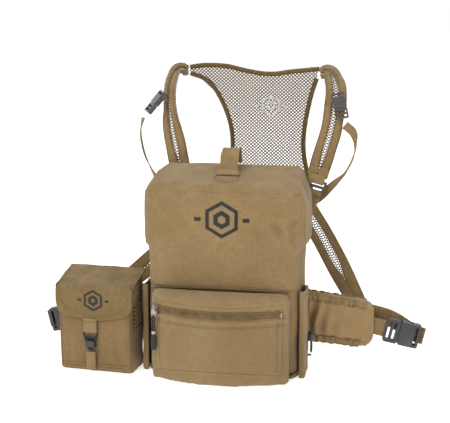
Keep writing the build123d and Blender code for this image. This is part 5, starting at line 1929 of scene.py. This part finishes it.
    def lacing(self) -> None:
        """Makes the bars on the pouch's side, a dark sheet behind them that paints the shadow between the
        bars, and its belt loops.
        """
        bars = finer(soft_copy("side_lacing_bars", "pouch_side_lacing", 0.5, 2))
        place(dress(bars, FLAT_WEBBING), "pack", ["pouch_side_lacing"])
        loops = soft_copy("belt_loop_straps", "pouch_belt_loops", 0.9, 4)
        place(dress(loops, FLAT_WEBBING), "pack", ["pouch_belt_loops"])
        # A thin dark sheet just behind the side bars paints the shadow between them; the pouch body's own
        # side lies under it.
        strip = [(44.15, -16.5, 46), (44.15, 12.5, 46), (44.15, 12.5, 104), (44.15, -16.5, 104)]
        grid = np.array([[strip[0], strip[1]], [strip[3], strip[2]]], float)
        rows = np.linspace(0, 1, 20)[:, None, None] * (grid[1] - grid[0])[None] + grid[0][None]
        columns = np.linspace(0, 1, 10)[None, :, None] * (rows[:, 1:] - rows[:, :1]) + rows[:, :1]
        top = self.at(columns.reshape(-1, 3)).reshape(columns.shape)
        low_face = self.at((columns - [0.7, 0, 0]).reshape(-1, 3)).reshape(columns.shape)
        place(dress(slab("side_gusset", top, low_face), PAINTED_SHADOW_CLOTH), "pack")


@dataclass
class Hardware:
    """Moulded buckles and locks, which keep their CAD shapes."""

    black: tuple[str, ...] = ("waist_plug", "waist_socket")
    grey: tuple[str, ...] = ("ladder_lock", "tether_plug", "tether_socket")

    def build(self) -> None:
        """Dresses every buckle piece."""
        for side in Side:
            for stem in self.black:
                dress_node(f"{stem}_{side.word}", BLACK)
            for stem in self.grey:
                dress_node(f"{stem}_{side.word}", GREY_PLASTIC, 0.3)
            for letter in "ab":
                dress_node(f"waist_latch_{side.word}_{letter}", BLACK, 0.3)
                dress_node(f"tether_latch_{side.word}_{letter}", GREY_PLASTIC, 0.25)


@dataclass
class Studio:
    """The white floor, soft lights and camera."""

    target: tuple[float, float, float] = (-3, 5, 183)
    eye: tuple[float, float, float] = (238, -1363, 478)

    def build(self) -> None:
        """Makes the camera, the floor, the lights and the world."""
        camera = bpy.data.objects.new("camera", bpy.data.cameras.new("camera"))
        bpy.context.scene.collection.objects.link(camera)
        camera.location = Vector(self.eye) * MM
        heading = (Vector(self.target) - Vector(self.eye)).normalized()
        camera.rotation_euler = heading.to_track_quat("-Z", "Y").to_euler()
        camera.data.lens, camera.data.sensor_width = 100, 36
        camera.data.clip_end = 50
        bpy.context.scene.camera = camera
        self.floor()
        for name, place_at, size, power in LAMPS:
            light = bpy.data.lights.new(name, "AREA")
            light.energy, light.size = power, size
            lamp = bpy.data.objects.new(name, light)
            lamp.location = place_at
            aim = Vector((0, 0, 0.15)) - Vector(place_at)
            lamp.rotation_euler = aim.to_track_quat("-Z", "Y").to_euler()
            bpy.context.scene.collection.objects.link(lamp)
        world = bpy.data.worlds.new("white room")
        world.use_nodes = True
        recipe = Recipe(world.node_tree)
        background = world.node_tree.nodes["Background"]
        background.inputs[0].default_value = (1, 1, 1, 1)
        seen = recipe.put("ShaderNodeLightPath").outputs["Is Camera Ray"]
        recipe.tree.links.new(recipe.spread(seen, 0.0, 1.0, 0.42, 1.0), background.inputs[1])
        bpy.context.scene.world = world
        bpy.context.scene.view_settings.view_transform = "Standard"

    def floor(self) -> None:
        """Makes the white floor, which stays white but for a soft contact shadow."""
        corners = ((-1, -1), (1, -1), (1, 1), (-1, 1))
        points = np.array([(x * FLOOR_HALF, y * FLOOR_HALF, FLOOR_Z) for x, y in corners])
        floor = mesh_object("floor", points, [(0, 1, 2, 3)])
        white = bpy.data.materials.new("white_floor")
        white.use_nodes = True
        shader = white.node_tree.nodes["Principled BSDF"]
        shader.inputs["Base Color"].default_value = (0.9, 0.9, 0.9, 1)
        shader.inputs["Roughness"].default_value = 0.9
        shader.inputs["Specular IOR Level"].default_value = 0.0
        shader.inputs["Emission Color"].default_value = (1, 1, 1, 1)
        shader.inputs["Emission Strength"].default_value = 0.62
        floor.data.materials.append(white)


def lines_through(a: Point, b: Point, across: Point) -> tuple:
    """Five stations of a straight strap from one place to another.

    Args:
        a: Its first place.
        b: Its last place.
        across: Its direction across.

    Returns:
        Rows of place and direction.
    """
    share = np.linspace(0, 1, 5)[:, None]
    line = np.array(a, float) * (1 - share) + np.array(b, float) * share
    return tuple(tuple(row) + tuple(across) for row in line)


SHOULDERS = {
    Side.LEFT: ((-68.5, 118.3, 331.5, -.1, 0, 1, 13), (-75, 112, 333, -.4, .5, .75, 18),
                (-81, 100, 329, -.7, .65, -.2, 22), (-83, 86, 315, -.66, .72, -.2, 24),
                (-82.5, 78, 292, -.7, .68, -.2, 24), (-78, 71, 267, -.93, .3, -.27, 25),
                (-70.5, 62, 242, -.96, 0, -.28, 25), (-64.5, 56.2, 220.4, -.96, 0, -.28, 24)),
    Side.RIGHT: ((93, 118, 330.5, -.1, 0, 1, 14), (99.5, 112, 333, .35, .5, .8, 19),
                 (108, 100, 329.5, .8, .5, -.1, 24), (113.5, 87, 315, .98, .15, 0, 25),
                 (113, 79, 294, 1, 0, 0, 25), (109.5, 71, 268, .97, 0, -.22, 25),
                 (101.5, 62, 238, .96, 0, -.26, 25), (96, 56.2, 217.3, .96, 0, -.26, 24)),
}
ARMS = {
    Side.RIGHT: ((77.5, 116.5, 165, .79, 0, .61, 28), (100, 98, 136, .79, 0, .61, 28),
                 (121, 77, 106, .79, 0, .61, 28), (139, 57, 81, .79, 0, .61, 24),
                 (150, 45, 67, .7, 0, .71, 20)),
    Side.LEFT: ((-27.5, 116.5, 166, -.64, 0, .77, 28), (-62, 99, 139, -.64, 0, .77, 28),
                (-98, 77, 109, -.64, 0, .77, 28), (-130, 55, 83, -.64, 0, .77, 24),
                (-150, 40, 67, -.62, 0, .78, 20)),
}
RUNS = (
    WebbingRun("tether_web_right",
               ((126.5, 63, 277, .9, .1, .45), (136, 61, 269, .5, .5, .7), (139.5, 59, 256, .2, .95, .1),
                (137, 58, 240, -.1, 1, 0), (128, 57, 222, -.1, 1, .1), (113, 56.5, 206.5, -.5, .6, .5),
                (99, 62.5, 192, -.6, .3, .7), (82, 59.5, 181, -.5, 0, .85)),
               10, 1.4, "tether_webs", ("pack", "tether_plug_right"), (136, 60, 255), (126, 63, 280)),
    WebbingRun("tether_web_left",
               ((-111.5, 65, 280, .49, -.87, -.2), (-114, 62.5, 266, .2, -.97, .1),
                (-112.5, 60, 250, .1, -.97, .1), (-107, 58, 233, .1, -.97, .2), (-98, 57, 216, .3, -.8, .4),
                (-88, 57, 202, .6, -.3, .6), (-77, 55, 190, .7, 0, .7)),
               10, 1.4, "tether_webs", ("pack", "tether_plug_left"), (-112, 60, 255), (-111, 65, 280)),
    WebbingRun("adjuster_web_right",
               ((91.2, 53.0, 196.5, .967, 0, -.256), (91.7, 53.1, 200.4, .967, 0, -.256),
                (91.9, 54.8, 202.3, .967, 0, -.256), (91.3, 56.4, 200.0, .967, 0, -.256),
                (89, 56.2, 192, 1, 0, -.2), (81.5, 54.4, 177, 1, 0, -.05), (72, 52.2, 160, 1, 0, 0)),
               20, 1.4, "adjuster_webs", ("pack", "ladder_lock_right"), (82, 54, 178), (91, 55, 199), 1.2),
    WebbingRun("adjuster_web_left",
               ((-59.4, 53.0, 199.6, .963, 0, .268), (-59.9, 53.1, 203.5, .963, 0, .268),
                (-60.1, 54.8, 205.4, .963, 0, .268), (-59.6, 56.4, 203.1, .963, 0, .268),
                (-60.5, 56.2, 194, 1, 0, .2), (-65.5, 54.4, 178, 1, 0, .05), (-72, 52.2, 160, 1, 0, 0)),
               20, 1.4, "adjuster_webs", ("pack", "ladder_lock_left"), (-66, 54, 179), (-60, 55, 202), 1.2),
    WebbingRun("wing_web_right", lines_through((164, 28.6, 50.5), (180.4, 30, 46.6), (.15, 0, 1)),
               20, 2.2, "wing_webs"),
    WebbingRun("wing_web_left", lines_through((-164, 20.9, 50.5), (-180.4, 24, 46.6), (-.15, 0, 1)),
               20, 2.2, "wing_webs"),
    WebbingRun("waist_rear_web_right",
               ((153.2, 42.6, 63.4, .7, 0, .71), (184.6, 43.0, 55.5, .4, 0, .9),
                (212, 42.8, 39.6, .22, 0, .97), (224.4, 39.8, 36.4, .22, 0, .97)),
               20, 1.4, "rear_web_right", ("pack", "waist_socket_right"), (172, 42, 58), (208, 43, 42)),
    WebbingRun("waist_rear_web_left",
               ((-153.2, 37.6, 63.4, -.7, 0, .71), (-184.6, 37.8, 55.5, -.4, 0, .9),
                (-212, 36.6, 39.6, -.22, 0, .97), (-224.4, 33.2, 36.4, -.22, 0, .97)),
               20, 1.4, "rear_web_left", ("pack", "waist_socket_left"), (-172, 37, 58), (-208, 37, 42)),
)


def end_loops() -> None:
    """Makes the webbing loops that hold the ladder locks."""
    loops = soft_copy("strap_end_webs", "strap_end_loops", 0.7, 3)
    place(dress(loops, FLAT_WEBBING), "pack", ["strap_end_loops"])


def main() -> None:
    """Builds the scene piece by piece."""
    logging.basicConfig(level=logging.INFO, format="%(name)s: %(message)s")
    Studio().build()
    CordLock().build()
    Bucket().build()
    Hood().build()
    FrontPocket().build()
    Yoke().build()
    for side, stations in SHOULDERS.items():
        ShoulderStrap(side, stations).build()
    for side, stations in ARMS.items():
        LowerArm(side, stations).build()
    for run in RUNS:
        run.build()
    end_loops()
    for side in Side:
        WaistWing(side).build()
    Pouch().build()
    Hardware().build()


if __name__ == "__main__":
    main()
